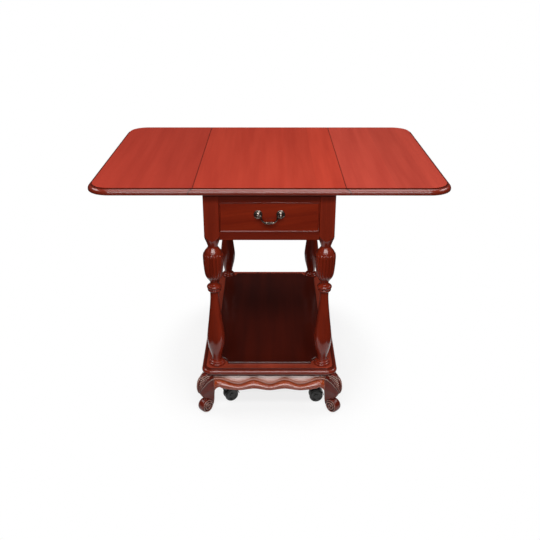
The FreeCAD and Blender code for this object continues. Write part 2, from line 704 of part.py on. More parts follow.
def frame():
    leg = leg_model()
    for corner, across, along in CORNERS:
        label = f"leg_{corner}"
        node(label, place(group(label, leg), f"{across} * {LEG_X}", f"{along} * {LEG_Y}"))
    width = (f"-{INNER_X}", INNER_X)
    front = (f"-{OUTER_Y}", f"-{OUTER_Y} + front_rail_deep")
    node("front_rail_upper", box("front_rail_upper", width, front, (HEAD, UNDERSIDE)))
    node("front_rail_lower", box("front_rail_lower", width, front, (RAIL_LOW, SILL)))
    node("back_rail", box("back_rail", width, (RAIL_IN_Y, OUTER_Y), (RAIL_LOW, UNDERSIDE)))
    run = (f"-{OUTER_Y} + front_rail_deep", INNER_Y)
    runners, kickers, stops = [], [], []
    for side, way in SIDES:
        x = (RAIL_IN_X, OUTER_X) if way > 0 else (f"-{OUTER_X}", f"-{RAIL_IN_X}")
        long = (f"-{INNER_Y}", INNER_Y)
        node(f"side_rail_{side}", box(f"side_rail_{side}", x, long, (RAIL_LOW, UNDERSIDE)))
        near = f"({RAIL_IN_X} - runner_wide)"
        x = (near, RAIL_IN_X) if way > 0 else (f"-{RAIL_IN_X}", f"-{near}")
        guide = (INNER_X, RAIL_IN_X) if way > 0 else (f"-{RAIL_IN_X}", f"-{INNER_X}")
        runners.append(fuse(
            f"runner_{side}",
            box(f"runner_bed_{side}", x, run, (f"{SILL} - guide_high", SILL)),
            box(f"runner_guide_{side}", guide, run, (f"{SILL} - guide_high", f"{SILL} + guide_high")),
        ))
        kickers.append(box(f"kicker_{side}", x, run, (HEAD, UNDERSIDE)))
        middle = f"({way} * {INNER_X} / 2)"
        stops.append(box(
            f"stop_{side}", (f"{middle} - 15", f"{middle} + 15"),
            (f"{FRONT_REAR} + slide_gap", f"{FRONT_REAR} + slide_gap + 10"),
            (SILL, f"{SILL} + stop_high"),
        ))
    node("drawer_runners", group("drawer_runners", *runners))
    node("drawer_kickers", group("drawer_kickers", *kickers))
    node("drawer_stops", group("drawer_stops", *stops))


# ---------------------------------------------------------------- base


def base():
    platform = new_body("base_body")
    half_x = size("base_width") / 2
    half_y = size("top_depth") / 2
    corner = size("base_corner")
    moulded_slab(
        platform,
        lambda inset: rounded_outline(
            -half_x + inset, half_x - inset, -half_y + inset, half_y - inset, corner - inset, (0, 1, 2, 3)
        ),
        BASE_UNDER, "base_thick", "base_inset", "mould_step", "base_round", "base_under",
        lambda edge: True,
    )
    node("base_platform", platform)

    panel = new_body("panel_body")
    edge_x = half_x - size("panel_inset")
    edge_y = half_y - size("panel_inset")
    radius = size("scoop_radius")
    centre = (edge_x - 3, edge_y + 6)
    reach_x = centre[0] - math.sqrt(radius**2 - (centre[1] - edge_y) ** 2)
    reach_y = centre[1] - math.sqrt(radius**2 - (edge_x - centre[0]) ** 2)
    deep = (centre[0] - radius * math.sin(math.pi / 4), centre[1] - radius * math.sin(math.pi / 4))
    shape = [
        line((-reach_x, -edge_y), (reach_x, -edge_y)),
        line((edge_x, -reach_y), (edge_x, reach_y)),
        line((reach_x, edge_y), (-reach_x, edge_y)),
        line((-edge_x, reach_y), (-edge_x, -reach_y)),
    ]
    for across in (-1, 1):
        for along in (-1, 1):
            shape.append(arc(
                (across * reach_x, along * edge_y),
                (across * deep[0], along * deep[1]),
                (across * edge_x, along * reach_y),
            ))
    slab = pad(panel, draw(sketch_on(panel, "XY_Plane", "base_top"), shape), "panel_thick")
    level = size("base_top") + size("panel_thick")
    round_edges(panel, slab, "panel_round", lambda edge: at_level(edge, level))
    node("shelf_panel", panel)


def apron_profile(top, line_high, low):
    """The moulded section of an apron: y is the distance behind its face, z the height.

    From the top: a sloping field, a bead, a cove, a bead and a smaller bead that ends at the lower edge.
    """
    back = size("apron_thick")
    share = (line_high - low) / 30
    cove_top = line_high - 5
    cove_low = low + 4 + 9 * share
    bead_low = low + 1 + 5.5 * share
    return [
        line((back, top), (size("apron_slope"), top)),
        line((size("apron_slope"), top), (0.4, line_high)),
        arc((0.4, line_high), (-2.4, line_high - 2.6), (-0.2, cove_top)),
        arc((-0.2, cove_top), (3.6, (cove_top + cove_low) / 2), (0.4, cove_low)),
        arc((0.4, cove_low), (-3.6, (cove_low + bead_low) / 2), (-0.8, bead_low)),
        arc((-0.8, bead_low), (-2.8, (bead_low + low) / 2), (0.4, low)),
        line((0.4, low), (back, low)),
        line((back, low), (back, top)),
    ]


def apron_model(name, long):
    """One apron along X, its face towards -Y: the moulding rises and falls in waves between the feet."""
    body = new_body(name)
    half = long / 2
    top = size("base_top") - size("base_thick")
    step = size("wave_long") / 2
    count = int((half - 12) // step)
    ways = {i: 1 if (i - count) % 2 == 0 else -1 for i in range(-count, count + 1)}
    places = [(i * step, way * size("line_wave"), way * size("apron_wave")) for i, way in ways.items()]
    rest = (1.2 * size("line_wave"), -2 * size("apron_wave"))
    places = [(-half, *rest)] + places + [(half, *rest)]
    rows = []
    for along, line_lift, low_lift in places:
        section = apron_profile(top, size("bead_line") + line_lift, size("apron_low") + low_lift)
        rows.append(draw(sketch_on(body, "YZ_Plane", along), section))
    loft = body.newObject("PartDesign::AdditiveLoft", f"{name}_loft")
    loft.Profile = rows[0]
    loft.Sections = rows[1:]
    doc.recompute()
    return body


def aprons():
    face_x = "(base_width / 2 - apron_back)"
    face_y = "(top_depth / 2 - apron_back)"
    reach = size("foot_reach")
    short = apron_model("apron_short_body", size("base_width") - 2 * reach)
    long = apron_model("apron_long_body", size("top_depth") - 2 * reach)
    for label, model, x, y, turn in (
        ("apron_front", short, 0, f"-{face_y}", 0),
        ("apron_back", short, 0, face_y, 180),
        ("apron_left", long, f"-{face_x}", 0, -90),
        ("apron_right", long, face_x, 0, 90),
    ):
        node(label, place(group(label, model), x, y, 0, turn))


# Each level of a foot: height above the floor, how far the outer corner and the face stand outside the
# platform edge, the depth of the flat end beside the apron, and how far that end has moved outwards.
FOOT_LEVELS = (
    (134, -9, -10, 20, 0.2),
    (128, 2, -8, 20, 0.2),
    (118, 11, -6, 20, 0.2),
    (104, 14.5, -5, 19, 0.2),
    (90, 15, -5, 18, 0.2),
    (76, 12.6, -7, 14, 0.2),
    (66, 8.5, -9.5, 11, 0.7),
    (56, 2.5, -12, 9, 1.6),
    (46, -2, -13.5, 8, 3),
    (34, -3.5, -14.5, 8, 6),
    (22, -4, -15, 8, 11),
)


def foot_model():
    """A scroll foot about the platform corner: the corner points to +X +Y, the diagonal is its middle."""
    body = new_body("foot_body")
    top = size("base_top") - size("base_thick")
    low = FOOT_LEVELS[-1][0]
    sketches = []
    for level, out, face, deep, drawn in FOOT_LEVELS:
        inner = drawn - size("foot_reach")
        high = low + (level - low) * (top - low) / (FOOT_LEVELS[0][0] - low)
        rise = out - face
        outer = [
            (inner, face),
            (inner + 0.55 * (out - inner), face + 0.62 * rise),
            (out - 8, out - 0.9),
            (out - 2.2, out - 2.2),
            (out - 0.9, out - 8),
            (face + 0.62 * rise, inner + 0.55 * (out - inner)),
            (face, inner),
        ]
        shape = [
            curve(outer),
            line((face, inner), (face - deep, inner)),
            line((face - deep, inner), (inner, face - deep)),
            line((inner, face - deep), (inner, face)),
        ]
        sketches.append(draw(sketch_on(body, "XY_Plane", high), shape))
    loft = body.newObject("PartDesign::AdditiveLoft", "foot_loft")
    loft.Profile = sketches[0]
    loft.Sections = sketches[1:]
    doc.recompute()
    return body


def toe_model():
    """The scroll of the toe, a rounded drum across the diagonal."""
    body = new_body("toe_body")
    radius = size("scroll_radius")
    half = size("scroll_wide") / 2
    shape = [
        line((0, -half), (radius - 9, -half)),
        arc((radius - 9, -half), (radius - 2.5, -half + 4), (radius, 0)),
        arc((radius, 0), (radius - 2.5, half - 4), (radius - 9, half)),
        line((radius - 9, half), (0, half)),
        line((0, half), (0, -half)),
    ]
    revolve(body, draw(sketch_on(body, "XY_Plane"), shape))
    return body


def feet():
    toe = place(
        toe_model(), "-scroll_inset", "-scroll_inset", "scroll_radius + foot_lift", 45
    )
    foot = fuse("foot_whole", foot_model(), toe)
    turns = {"front_left": 180, "front_right": -90, "back_right": 0, "back_left": 90}
    for corner, across, along in CORNERS:
        label = f"foot_{corner}"
        spot = (f"{across} * base_width / 2", f"{along} * top_depth / 2", 0, turns[corner])
        node(label, place(group(label, foot), *spot))


# ---------------------------------------------------------------- drawer


def drawer():
    half = f"({INNER_X} - drawer_gap)"
    low, high = f"({SILL} + drawer_gap)", f"({HEAD} - drawer_gap)"
    middle = f"({UNDERSIDE} - (sill_down + head_down) / 2)"
    wide, tall = f"(2 * {half})", f"({high} - {low})"

    front = new_body("front_body")
    panel = sketch_on(front, "XZ_Plane")
    centred_rectangle(panel, f"{wide} - 2 * bead_wide", f"{tall} - 2 * bead_wide")
    pad(front, panel, "front_thick", back=True)
    rear = sketch_on(front, "XZ_Plane", "-bead_deep")
    centred_rectangle(rear, wide, tall)
    pad(front, rear, "front_thick - bead_deep", back=True)
    drop = (size("sill_down") + size("head_down")) / 2 - size("pull_down")
    holes = sketch_on(front, "XZ_Plane")
    bore = size("shank_radius") + size("pin_gap")
    draw(holes, [circle(way * size("pull_spread") / 2, drop, bore) for way in (-1, 1)])
    pocket(front, holes, "front_thick + 2", back=True)
    node("drawer_front", place(front, 0, FRONT_FACE, middle))

    bead = new_body("bead_body")
    ring = sketch_on(bead, "XZ_Plane", "-bead_deep")
    half_x = size("base_width") / 2 - size("leg_inset_x") - size("block_side") / 2 - size("drawer_gap")
    half_z = (size("sill_down") - size("head_down")) / 2 - size("drawer_gap")
    thick = size("bead_wide")
    draw(ring, rectangle(-half_x, half_x, -half_z, half_z))
    draw(ring, rectangle(-half_x + thick, half_x - thick, -half_z + thick, half_z - thick))
    strip = pad(bead, ring, "bead_deep + bead_out")
    level = -size("bead_out")
    round_edges(
        bead, strip, "bead_round",
        lambda e: e.BoundBox.YLength < 0.01 and abs(e.BoundBox.YMin - level) < 0.01,
    )
    node("drawer_cock_bead", place(bead, 0, FRONT_FACE, middle))

    rear_y = BOX_REAR
    foot = f"({SILL} + slide_gap)"
    board = f"({foot} + bottom_up)"
    run = (FRONT_REAR, rear_y)
    inside = f"({half} - drawer_side_thick)"
    for side, way in SIDES:
        x = (inside, half) if way > 0 else (f"-{half}", f"-{inside}")
        plank = box(f"drawer_plank_{side}", x, run, (foot, f"{foot} + drawer_side_high"))
        slot = (f"{inside} - 1", f"{inside} + groove_deep") if way > 0 else (
            f"-({inside} + groove_deep)", f"-{inside} + 1")
        groove = box(f"drawer_groove_{side}", slot, (f"{FRONT_REAR} - 1", f"{rear_y} + 1"),
                     (board, f"{board} + bottom_thick"))
        node(f"drawer_side_{side}", cut(f"drawer_side_{side}", plank, groove))
    reach = f"({inside} + groove_deep)"
    levels = (board, f"{board} + bottom_thick")
    node("drawer_bottom", box("drawer_bottom", (f"-{reach}", reach), run, levels))
    node("drawer_back", box(
        "drawer_back", (f"-{inside}", inside), (f"{rear_y} - drawer_side_thick", rear_y),
        (f"{board} + bottom_thick", f"{foot} + drawer_side_high - 6"),
    ))


# ---------------------------------------------------------------- drawer pull


def pull():
    """Two roses with knobs, nuts behind the drawer front and the swinging bail."""
    rose = new_body("rose_body")
    out = size("ball_out")
    ball = size("ball_radius")
    wide = size("rose_radius")
    shank = size("shank_radius")
    deep = size("front_thick") + 5
    neck = 3.2
    lift = math.sqrt(ball**2 - neck**2)
    shape = [
        line((0, -deep), (shank, -deep)),
        line((shank, -deep), (shank, 0)),
        line((shank, 0), (wide, 0)),
        arc((wide, 0), (wide - 0.5, 1.6), (wide - 2.2, 2)),
        line((wide - 2.2, 2), (wide - 3, 2)),
        arc((wide - 3, 2), (wide - 5.2, 4.2), (neck, 5)),
        line((neck, 5), (neck, out - lift)),
        arc((neck, out - lift), (ball, out), (0, out + ball)),
        line((0, out + ball), (0, -deep)),
    ]
    revolve(rose, draw(sketch_on(rose, "XY_Plane"), shape))
    eye = sketch_on(rose, "YZ_Plane")
    draw(eye, [circle(out, 0, size("bail_radius") + size("pin_gap"))])
    pocket(rose, eye, "3 * rose_radius", both=True)
    nut_hole = rod("nut_hole", "shank_radius", "6", 0, -1, 0, "y")
    nut = doc.addObject("Part::Prism", "nut_hexagon")
    nut.Polygon = 6
    nut.setExpression("Circumradius", formula("2 * shank_radius"))
    nut.Height = 3.5
    place(nut, 0, 0, 0, rotation=AXES["y"])
    nut_ring = cut("nut", nut, nut_hole)
    roses, nuts = [], []
    for side, way in SIDES:
        spot = f"{way} * pull_spread / 2"
        turned = place(group(f"rose_{side}", rose), spot, FRONT_FACE, PULL_HIGH, 180)
        roses.append(turned)
        nuts.append(place(group(f"nut_{side}", nut_ring), spot, FRONT_REAR, PULL_HIGH))
    node("pull_roses", group("pull_roses", *roses))
    node("pull_nuts", group("pull_nuts", *nuts))

    bail = new_body("bail_body")
    half = size("pull_spread") / 2
    drop = size("bail_drop")
    bend = size("bail_bend")
    arm = half - ball - size("side_gap") - bend
    sweep = 12.0
    path = sketch_on(bail, "XZ_Plane")
    tips = [(half + 2, 0), (arm + bend, 0), (arm, -bend), (arm, -drop + sweep), (arm - sweep, -drop)]
    route = []
    for way in (-1, 1):
        p = [(way * x, z) for x, z in tips]
        knee = on_circle((arm + bend, -bend), bend, 135)
        hip = on_circle((arm - sweep, -drop + sweep), sweep, -45)
        part = [line(p[0], p[1]), arc(p[1], (way * knee[0], knee[1]), p[2]), line(p[2], p[3]),
                arc(p[3], (way * hip[0], hip[1]), p[4])]
        route.append(part)
    grip = [line((-tips[4][0], -drop), (tips[4][0], -drop))]
    mirrored = [flipped(edge) for edge in reversed(route[1])]
    draw(path, route[0] + grip + mirrored)
    profile = sketch_on(bail, "YZ_Plane", "-(pull_spread / 2 + 2)")
    draw(profile, [circle(0, 0, size("bail_radius"))])
    pipe = bail.newObject("PartDesign::AdditivePipe", "bail_pipe")
    pipe.Profile = profile
    pipe.Spine = (path, [f"Edge{i}" for i in range(1, 10)])
    doc.recompute()
    thick = 1.75 * size("bail_radius")
    thin = size("bail_radius")
    reach = tips[4][0]
    shape = [
        line((-reach, -drop), (reach, -drop)),
        line((reach, -drop), (reach, -drop + thin)),
        arc((reach, -drop + thin), (reach / 2 + 1, -drop + thick - 0.4), (reach / 2, -drop + thick)),
        line((reach / 2, -drop + thick), (-reach / 2, -drop + thick)),
        arc((-reach / 2, -drop + thick), (-reach / 2 - 1, -drop + thick - 0.4), (-reach, -drop + thin)),
        line((-reach, -drop + thin), (-reach, -drop)),
    ]
    spindle = draw(sketch_on(bail, "XZ_Plane"), shape)
    feature = bail.newObject("PartDesign::Revolution", "bail_grip")
    feature.Profile = spindle
    feature.ReferenceAxis = (spindle, ["Edge1"])
    feature.Angle = 360
    doc.recompute()
    node("bail_handle", place(bail, 0, f"{FRONT_FACE} - ball_out", PULL_HIGH))


def flipped(edge):
    """The same line or arc, drawn from its other end."""
    if isinstance(edge, Part.LineSegment):
        return line(edge.EndPoint, edge.StartPoint)
    first, last = edge.FirstParameter, edge.LastParameter
    return arc(edge.value(last), edge.value((first + last) / 2), edge.value(first))


# ---------------------------------------------------------------- casters


def caster_models():
    """Hood with stem, and the pair of wheels on its axle; the stem axis is x = y = 0."""
    wheel = size("wheel_radius")
    trail = size("wheel_trail")
    centre = (trail, wheel)
    inner = wheel + 1.2
    outer = inner + 1.8
    hood = new_body("hood_body")
    cover = [
        arc(on_circle(centre, outer, 8), on_circle(centre, outer, 80), on_circle(centre, outer, 150)),
        line(on_circle(centre, outer, 150), on_circle(centre, 9, 185)),
        arc(on_circle(centre, 9, 185), on_circle(centre, 9, 270), on_circle(centre, 9, 355)),
        line(on_circle(centre, 9, 355), on_circle(centre, outer, 8)),
    ]
    pad(hood, draw(sketch_on(hood, "XZ_Plane"), cover), "caster_wide", both=True)
    boss = sketch_on(hood, "XY_Plane", "2 * wheel_radius - 3")
    draw(boss, [circle(0, 0, 7.5)])
    pad(hood, boss, "block_bottom - 1.8 - 2 * wheel_radius + 3")
    for way in (-1, 1):
        well = sketch_on(hood, "XZ_Plane", f"{way} * web_half")
        draw(well, [circle(*centre, inner)])
        pocket(hood, well, "caster_wide", back=way < 0)
    bore = sketch_on(hood, "XZ_Plane")
    draw(bore, [circle(*centre, size("axle_radius") + size("pin_gap"))])
    pocket(hood, bore, "caster_wide", both=True)
    stem = sketch_on(hood, "XY_Plane", "block_bottom - 2.5")
    draw(stem, [circle(0, 0, size("stem_radius"))])
    pad(hood, stem, "stem_long + 2.5")

    disc = new_body("wheel_body")
    inside = size("web_half") + 0.5
    outside = size("caster_wide") / 2 - 0.4
    axle = size("axle_radius")
    shape = [
        line((axle, inside), (wheel - 2, inside)),
        arc((wheel - 2, inside), (wheel, (inside + outside) / 2), (wheel - 2, outside)),
        line((wheel - 2, outside), (wheel - 6, outside)),
        arc((wheel - 6, outside), (wheel - 10, outside - 2.2), (7, outside - 2.5)),
        line((7, outside - 2.5), (6, outside - 0.5)),
        line((6, outside - 0.5), (axle, outside - 0.5)),
        line((axle, outside - 0.5), (axle, inside)),
    ]
    revolve(disc, draw(sketch_on(disc, "XY_Plane"), shape))
    other = place(group("wheel_other", disc), 0, 0, 0, 180)
    pin = rod("axle_rod", "axle_radius", "caster_wide - 1.8", 0, "-caster_wide / 2 + 0.9", 0, "y")
    return hood, group("wheel_pair", disc, other, pin)


def casters():
    hood, wheels = caster_models()
    turns = {"front_left": 25, "front_right": 6, "back_right": -14, "back_left": 12}
    blocks, sockets = [], []
    for corner, across, along in CORNERS:
        turn = turns[corner]
        x, y = f"({across} * {CASTER_X})", f"({along} * {CASTER_Y})"
        label = f"caster_hood_{corner}"
        node(label, place(group(label, hood), x, y, 0, turn))
        cosine, sine = math.cos(math.radians(turn)), math.sin(math.radians(turn))
        label = f"caster_wheels_{corner}"
        axle_x, axle_y = f"{x} + {cosine:.6f} * wheel_trail", f"{y} + {sine:.6f} * wheel_trail"
        node(label, place(group(label, wheels), axle_x, axle_y, "wheel_radius", turn))
        hole = rod(f"socket_hole_{corner}", "stem_radius + 2", "stem_long + 4", x, y, "block_bottom - 1")
        timber = box(
            f"timber_{corner}", (f"{x} - caster_block / 2", f"{x} + caster_block / 2"),
            (f"{y} - caster_block / 2", f"{y} + caster_block / 2"), ("block_bottom", BASE_UNDER),
        )
        blocks.append(cut(f"block_{corner}", timber, hole))
        sleeve = fuse(
            f"sleeve_{corner}",
            rod(f"sleeve_tube_{corner}", "stem_radius + 2", "stem_long + 3", x, y, "block_bottom"),
            rod(f"sleeve_rim_{corner}", "stem_radius + 5", "1.5", x, y, "block_bottom - 1.5"),
        )
        inside = "stem_radius + pin_gap"
        bore = rod(f"sleeve_bore_{corner}", inside, "stem_long + 3", x, y, "block_bottom - 2")
        sockets.append(cut(f"socket_{corner}", sleeve, bore))
    node("caster_blocks", group("caster_blocks", *blocks))
    node("caster_sockets", group("caster_sockets", *sockets))


# ---------------------------------------------------------------- build and write

top_and_leaves()
frame()
base()
aprons()
feet()
drawer()
pull()
casters()
doc.recompute()

for thing in doc.Objects:
    if "Invalid" in thing.State or "Error" in thing.State:
        raise ValueError(f"{thing.Name} did not build: {thing.State}")
for label, thing in nodes.items():
    if thing.Shape.isNull() or not thing.Shape.isValid() or not thing.Shape.Solids:
        raise ValueError(f"{label} is not a sound solid")

os.makedirs("parts", exist_ok=True)
for label, thing in nodes.items():
    thing.Shape.exportStep(f"parts/{label}.step")
    print(label, len(thing.Shape.Solids), round(thing.Shape.Volume))
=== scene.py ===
import json
import math

import bpy
import numpy as np
from mathutils import Matrix, Vector


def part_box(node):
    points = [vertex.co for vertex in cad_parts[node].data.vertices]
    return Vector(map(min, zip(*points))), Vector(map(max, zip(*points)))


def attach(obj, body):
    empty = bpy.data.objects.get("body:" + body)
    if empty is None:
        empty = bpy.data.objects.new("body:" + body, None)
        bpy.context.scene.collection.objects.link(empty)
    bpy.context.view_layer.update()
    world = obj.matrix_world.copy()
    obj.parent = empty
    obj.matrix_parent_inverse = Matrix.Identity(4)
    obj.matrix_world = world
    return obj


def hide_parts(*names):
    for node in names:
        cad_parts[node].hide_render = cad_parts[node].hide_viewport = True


# Drop leaf tea trolley in red mahogany. The drawer faces -Y and the floor is z = 0. The scene and the
# textures are in metres; shapes are drawn in millimetres, and in_metres or MM brings them to metres.

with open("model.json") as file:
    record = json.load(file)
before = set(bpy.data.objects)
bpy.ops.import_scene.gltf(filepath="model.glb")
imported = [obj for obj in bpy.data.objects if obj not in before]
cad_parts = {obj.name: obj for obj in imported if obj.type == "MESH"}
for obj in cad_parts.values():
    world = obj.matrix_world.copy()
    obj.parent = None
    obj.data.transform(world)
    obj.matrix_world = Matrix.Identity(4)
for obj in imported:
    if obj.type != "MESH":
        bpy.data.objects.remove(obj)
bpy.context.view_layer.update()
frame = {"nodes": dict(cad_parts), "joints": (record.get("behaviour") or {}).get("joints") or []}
MM = 0.001

# ---------------------------------------------------------------- camera

camera = bpy.data.objects.new("camera", bpy.data.cameras.new("camera"))
bpy.context.scene.collection.objects.link(camera)
camera.data.lens = 46.36
camera.data.sensor_width = 36
camera.location = (0.00393, -2.08659, 1.28449)
camera.rotation_euler = (math.radians(90 - 24.92), 0, math.radians(0.07))
bpy.context.scene.camera = camera
bpy.context.scene.view_settings.view_transform = "Standard"

# ---------------------------------------------------------------- places that the frame gives

PIVOTS = {joint["name"]: joint["pos_m"] for joint in frame["joints"] if "pos_m" in joint}
BAIL_PIVOT = PIVOTS["bail_pivot"]
PULL_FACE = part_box("drawer_front")[0].y
PULL_HIGH = BAIL_PIVOT[2]

# The rule joint: an ovolo on the top inside a cove on the leaf, both round the hinge axis.
OVOLO_RADIUS = 0.012
JOINT_GAP = 0.0005
SEAM = PIVOTS["leaf_right_hinge"][0] + JOINT_GAP / 2
HINGE_HIGH = PIVOTS["leaf_right_hinge"][2]
JOINT_RADIUS = OVOLO_RADIUS + JOINT_GAP / 2

# The upper faces of the top and of the platform.
TOP_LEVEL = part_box("top_panel")[1].z
BASE_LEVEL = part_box("base_platform")[1].z

# In millimetres: the underside of the top, the edges of the platform, and the axis of a leg.
leg_low, leg_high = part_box("leg_back_right")
UNDERSIDE = round(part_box("top_panel")[0].z / MM, 2)
BASE_X, BASE_Y = (round(c / MM, 2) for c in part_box("base_platform")[1][:2])
LEG_X, LEG_Y = (round((a + b) / 2 / MM, 2) for a, b in zip(leg_low[:2], leg_high[:2]))

# ---------------------------------------------------------------- nodes

# Inputs are given by name, or by number where names repeat. Map Range: 0 is the value, 1 and 2 its range,
# 3 and 4 what the range becomes. Mix: 0 is the factor, 2 and 3 two numbers, 6 and 7 two colours.


def linear(text):
    """An sRGB hex colour as linear RGBA."""
    parts = [int(text[i:i + 2], 16) / 255 for i in (1, 3, 5)]
    return [c / 12.92 if c <= 0.04045 else ((c + 0.055) / 1.055) ** 2.4 for c in parts] + [1]


def add(tree, kind, inputs=(), **settings):
    """Adds a node with its settings; each input is a value or the socket that drives it."""
    made = tree.nodes.new("ShaderNode" + kind)
    for key, value in settings.items():
        setattr(made, key, value)
    for key, value in dict(inputs).items():
        if isinstance(value, bpy.types.NodeSocket):
            tree.links.new(value, made.inputs[key])
        else:
            made.inputs[key].default_value = value
    return made


def finish_of(name, **sockets):
    """A new material with a Principled surface, whose own sockets carry the plain numbers."""
    material = bpy.data.materials.new(name)
    material.use_nodes = True
    tree = material.node_tree
    tree.nodes.clear()
    names = {key.replace("_", " ").title().replace("Ior", "IOR"): value for key, value in sockets.items()}
    surface = add(tree, "BsdfPrincipled", names)
    out = add(tree, "OutputMaterial")
    tree.links.new(surface.outputs[0], out.inputs[0])
    return material, tree, surface


def streaks(tree, place, across, along, grain, detail=3):
    """Noise drawn out along the grain: so many metres across a streak and along it."""
    scale = [1 / across] * 3
    scale["XYZ".index(grain)] = 1 / along
    spread = add(tree, "Mapping", {"Vector": place, "Scale": scale})
    return add(tree, "TexNoise", {"Vector": spread.outputs[0], "Scale": 1, "Detail": detail}).outputs[0]


# ---------------------------------------------------------------- lacquered mahogany


def board_tint(tree, place, wide):
    """Boards glued side by side across x, each a little lighter or darker than the next."""
    across = add(tree, "SeparateXYZ", {0: place}).outputs[0]
    board = add(tree, "Math", {0: across, 1: wide}, operation="DIVIDE").outputs[0]
    board = add(tree, "Math", {0: board, 1: 0.37}, operation="ADD").outputs[0]
    board = add(tree, "Math", {0: board}, operation="FLOOR").outputs[0]
    pick = add(tree, "TexWhiteNoise", {"W": board}, noise_dimensions="1D").outputs[0]
    return add(tree, "MapRange", {0: pick, 3: 0.92, 4: 1.02}).outputs[0]


def seam_glaze(tree, place):
    """Dark glaze caught along the rule joint: upright at the top face, then an arc round the hinge axis."""
    across, _, high = add(tree, "SeparateXYZ", {0: place}).outputs
    side = add(tree, "Math", {0: across}, operation="ABSOLUTE").outputs[0]
    side = add(tree, "Math", {0: side, 1: SEAM}, operation="SUBTRACT").outputs[0]
    rise = add(tree, "Math", {0: high, 1: HINGE_HIGH}, operation="SUBTRACT").outputs[0]
    reach = add(tree, "CombineXYZ", {0: side, 1: rise}).outputs[0]
    reach = add(tree, "VectorMath", {0: reach}, operation="LENGTH").outputs["Value"]
    arc = add(tree, "Math", {0: reach, 1: JOINT_RADIUS}, operation="SUBTRACT").outputs[0]
    arc = add(tree, "Math", {0: arc}, operation="ABSOLUTE").outputs[0]
    # Only the outer half of the arc is a joint, so what lies inside the seam counts as far from it.
    inside =add(tree, "MapRange", {0: side, 1: -0.001, 2: 0, 3: 0.01, 4: 0}).outputs[0]
    arc = add(tree, "Math", {0: arc, 1: inside}, operation="ADD").outputs[0]
    upright = add(tree, "Math", {0: side}, operation="ABSOLUTE").outputs[0]
    above = add(tree, "Math", {0: rise, 1: JOINT_RADIUS}, operation="GREATER_THAN").outputs[0]
    away = add(tree, "Mix", {0: above, 2: arc, 3: upright}).outputs[0]
    return add(tree, "MapRange", {0: away, 1: 0.0007, 2: 0.0019, 3: 0.38, 4: 1}).outputs[0]


def painted_quirk_shade(tree, high, level):
    """Painted shade: a darker line in the quirk of a moulded edge, 2.5 mm under its flat face."""
    away = add(tree, "Math", {0: high, 1: level - 0.0025}, operation="SUBTRACT").outputs[0]
    away = add(tree, "Math", {0: away}, operation="ABSOLUTE").outputs[0]
    return add(tree, "MapRange", {0: away, 1: 0.0006, 2: 0.0014, 3: 0.5, 4: 1}).outputs[0]


# Mahogany, stained red and sprayed with gloss lacquer: deep red-brown with long soft streaks, faint dark
# pores along the grain and the clear wet shine of the lacquer over it. Real pores are 0.2 mm wide; they are
# drawn 0.9 mm wide so that they show.


def mahogany(name, grain, deep, pale, streaky=0.1, coat=1.0, skew=0.0, stave=0.0, seam=False, edge=None,
             carved=False):
    """Lacquered mahogany from its deep to its pale colour, with the grain along an axis.

    skew turns the grain, stave is the width of its boards, seam darkens the rule joint, edge is the level of
    its flat face with the deeper colour of the moulding under it, painted shade, with a painted shade line in
    its quirk, and carved wood has hollows darkened by glaze and painted shade and ridges paled by wear and
    painted highlight.
    """
    material, tree, surface = finish_of(name, ior=1.5, specular_ior_level=0.1, coat_weight=coat, coat_ior=1.5,
                                        coat_roughness=0.15)
    place = add(tree, "TexCoord").outputs["Object"]
    lie = add(tree, "Mapping", {"Vector": place, "Rotation": (0, skew, 0)}).outputs[0] if skew else place
    figure = streaks(tree, lie, 0.030, 0.50, grain)
    streak = streaks(tree, lie, 0.0045, 0.20, grain)
    pore = streaks(tree, lie, 0.0009, 0.014, grain, 1)
    tone = add(tree, "MapRange", {0: figure, 1: 0.32, 2: 0.68}).outputs[0]
    colour = add(tree, "Mix", {0: tone, 6: linear(deep), 7: linear(pale)}, data_type="RGBA").outputs[2]
    shades = [
        add(tree, "MapRange", {0: streak, 1: 0.3, 2: 0.65, 3: 1 - streaky, 4: 1}).outputs[0],
        add(tree, "MapRange", {0: pore, 1: 0.30, 2: 0.42, 3: 1 - 1.6 * streaky, 4: 1}).outputs[0],
    ]
    if stave:
        shades.append(board_tint(tree, place, stave))
    if seam:
        shades.append(seam_glaze(tree, place))
    if carved:
        # From the pointiness: hollows darker, partly glaze and partly painted shade; ridges paler, partly
        # rubbed wear and partly painted highlight.
        crest = add(tree, "NewGeometry").outputs["Pointiness"]
        shades.append(add(tree, "MapRange", {0: crest, 1: 0.475, 2: 0.50, 3: 0.12, 4: 1}).outputs[0])
        rubbed = add(tree, "MapRange", {0: crest, 1: 0.505, 2: 0.535, 3: 0, 4: 0.9}).outputs[0]
        colour = add(tree, "Mix", {0: rubbed, 6: colour, 7: linear("#C09A8C")}, data_type="RGBA").outputs[2]
    if edge:
        # Painted shade: below its flat face the moulded edge takes a deeper colour, with a darker line in its
        # quirk.
        level, moulding = edge
        high = add(tree, "SeparateXYZ", {0: place}).outputs[2]
        flat_face = add(tree, "MapRange", {0: high, 1: level - 0.0003, 2: level - 0.0001}).outputs[0]
        colour = add(tree, "Mix", {0: flat_face, 6: linear(moulding), 7: colour}, data_type="RGBA").outputs[2]
        shades.append(painted_quirk_shade(tree, high, level))
    shade = shades[0]
    for more in shades[1:]:
        shade = add(tree, "Math", {0: shade, 1: more}, operation="MULTIPLY").outputs[0]
    colour = add(tree, "VectorMath", {0: colour, "Scale": shade}, operation="SCALE")
    tree.links.new(colour.outputs[0], surface.inputs["Base Color"])
    gloss = add(tree, "MapRange", {0: figure, 1: 0.3, 2: 0.7, 3: 0.40, 4: 0.34})
    tree.links.new(gloss.outputs[0], surface.inputs["Roughness"])
    relief = add(tree, "Bump", {"Height": shade, "Strength": 0.05, "Distance": 0.0002})
    tree.links.new(relief.outputs[0], surface.inputs["Normal"])
    return material
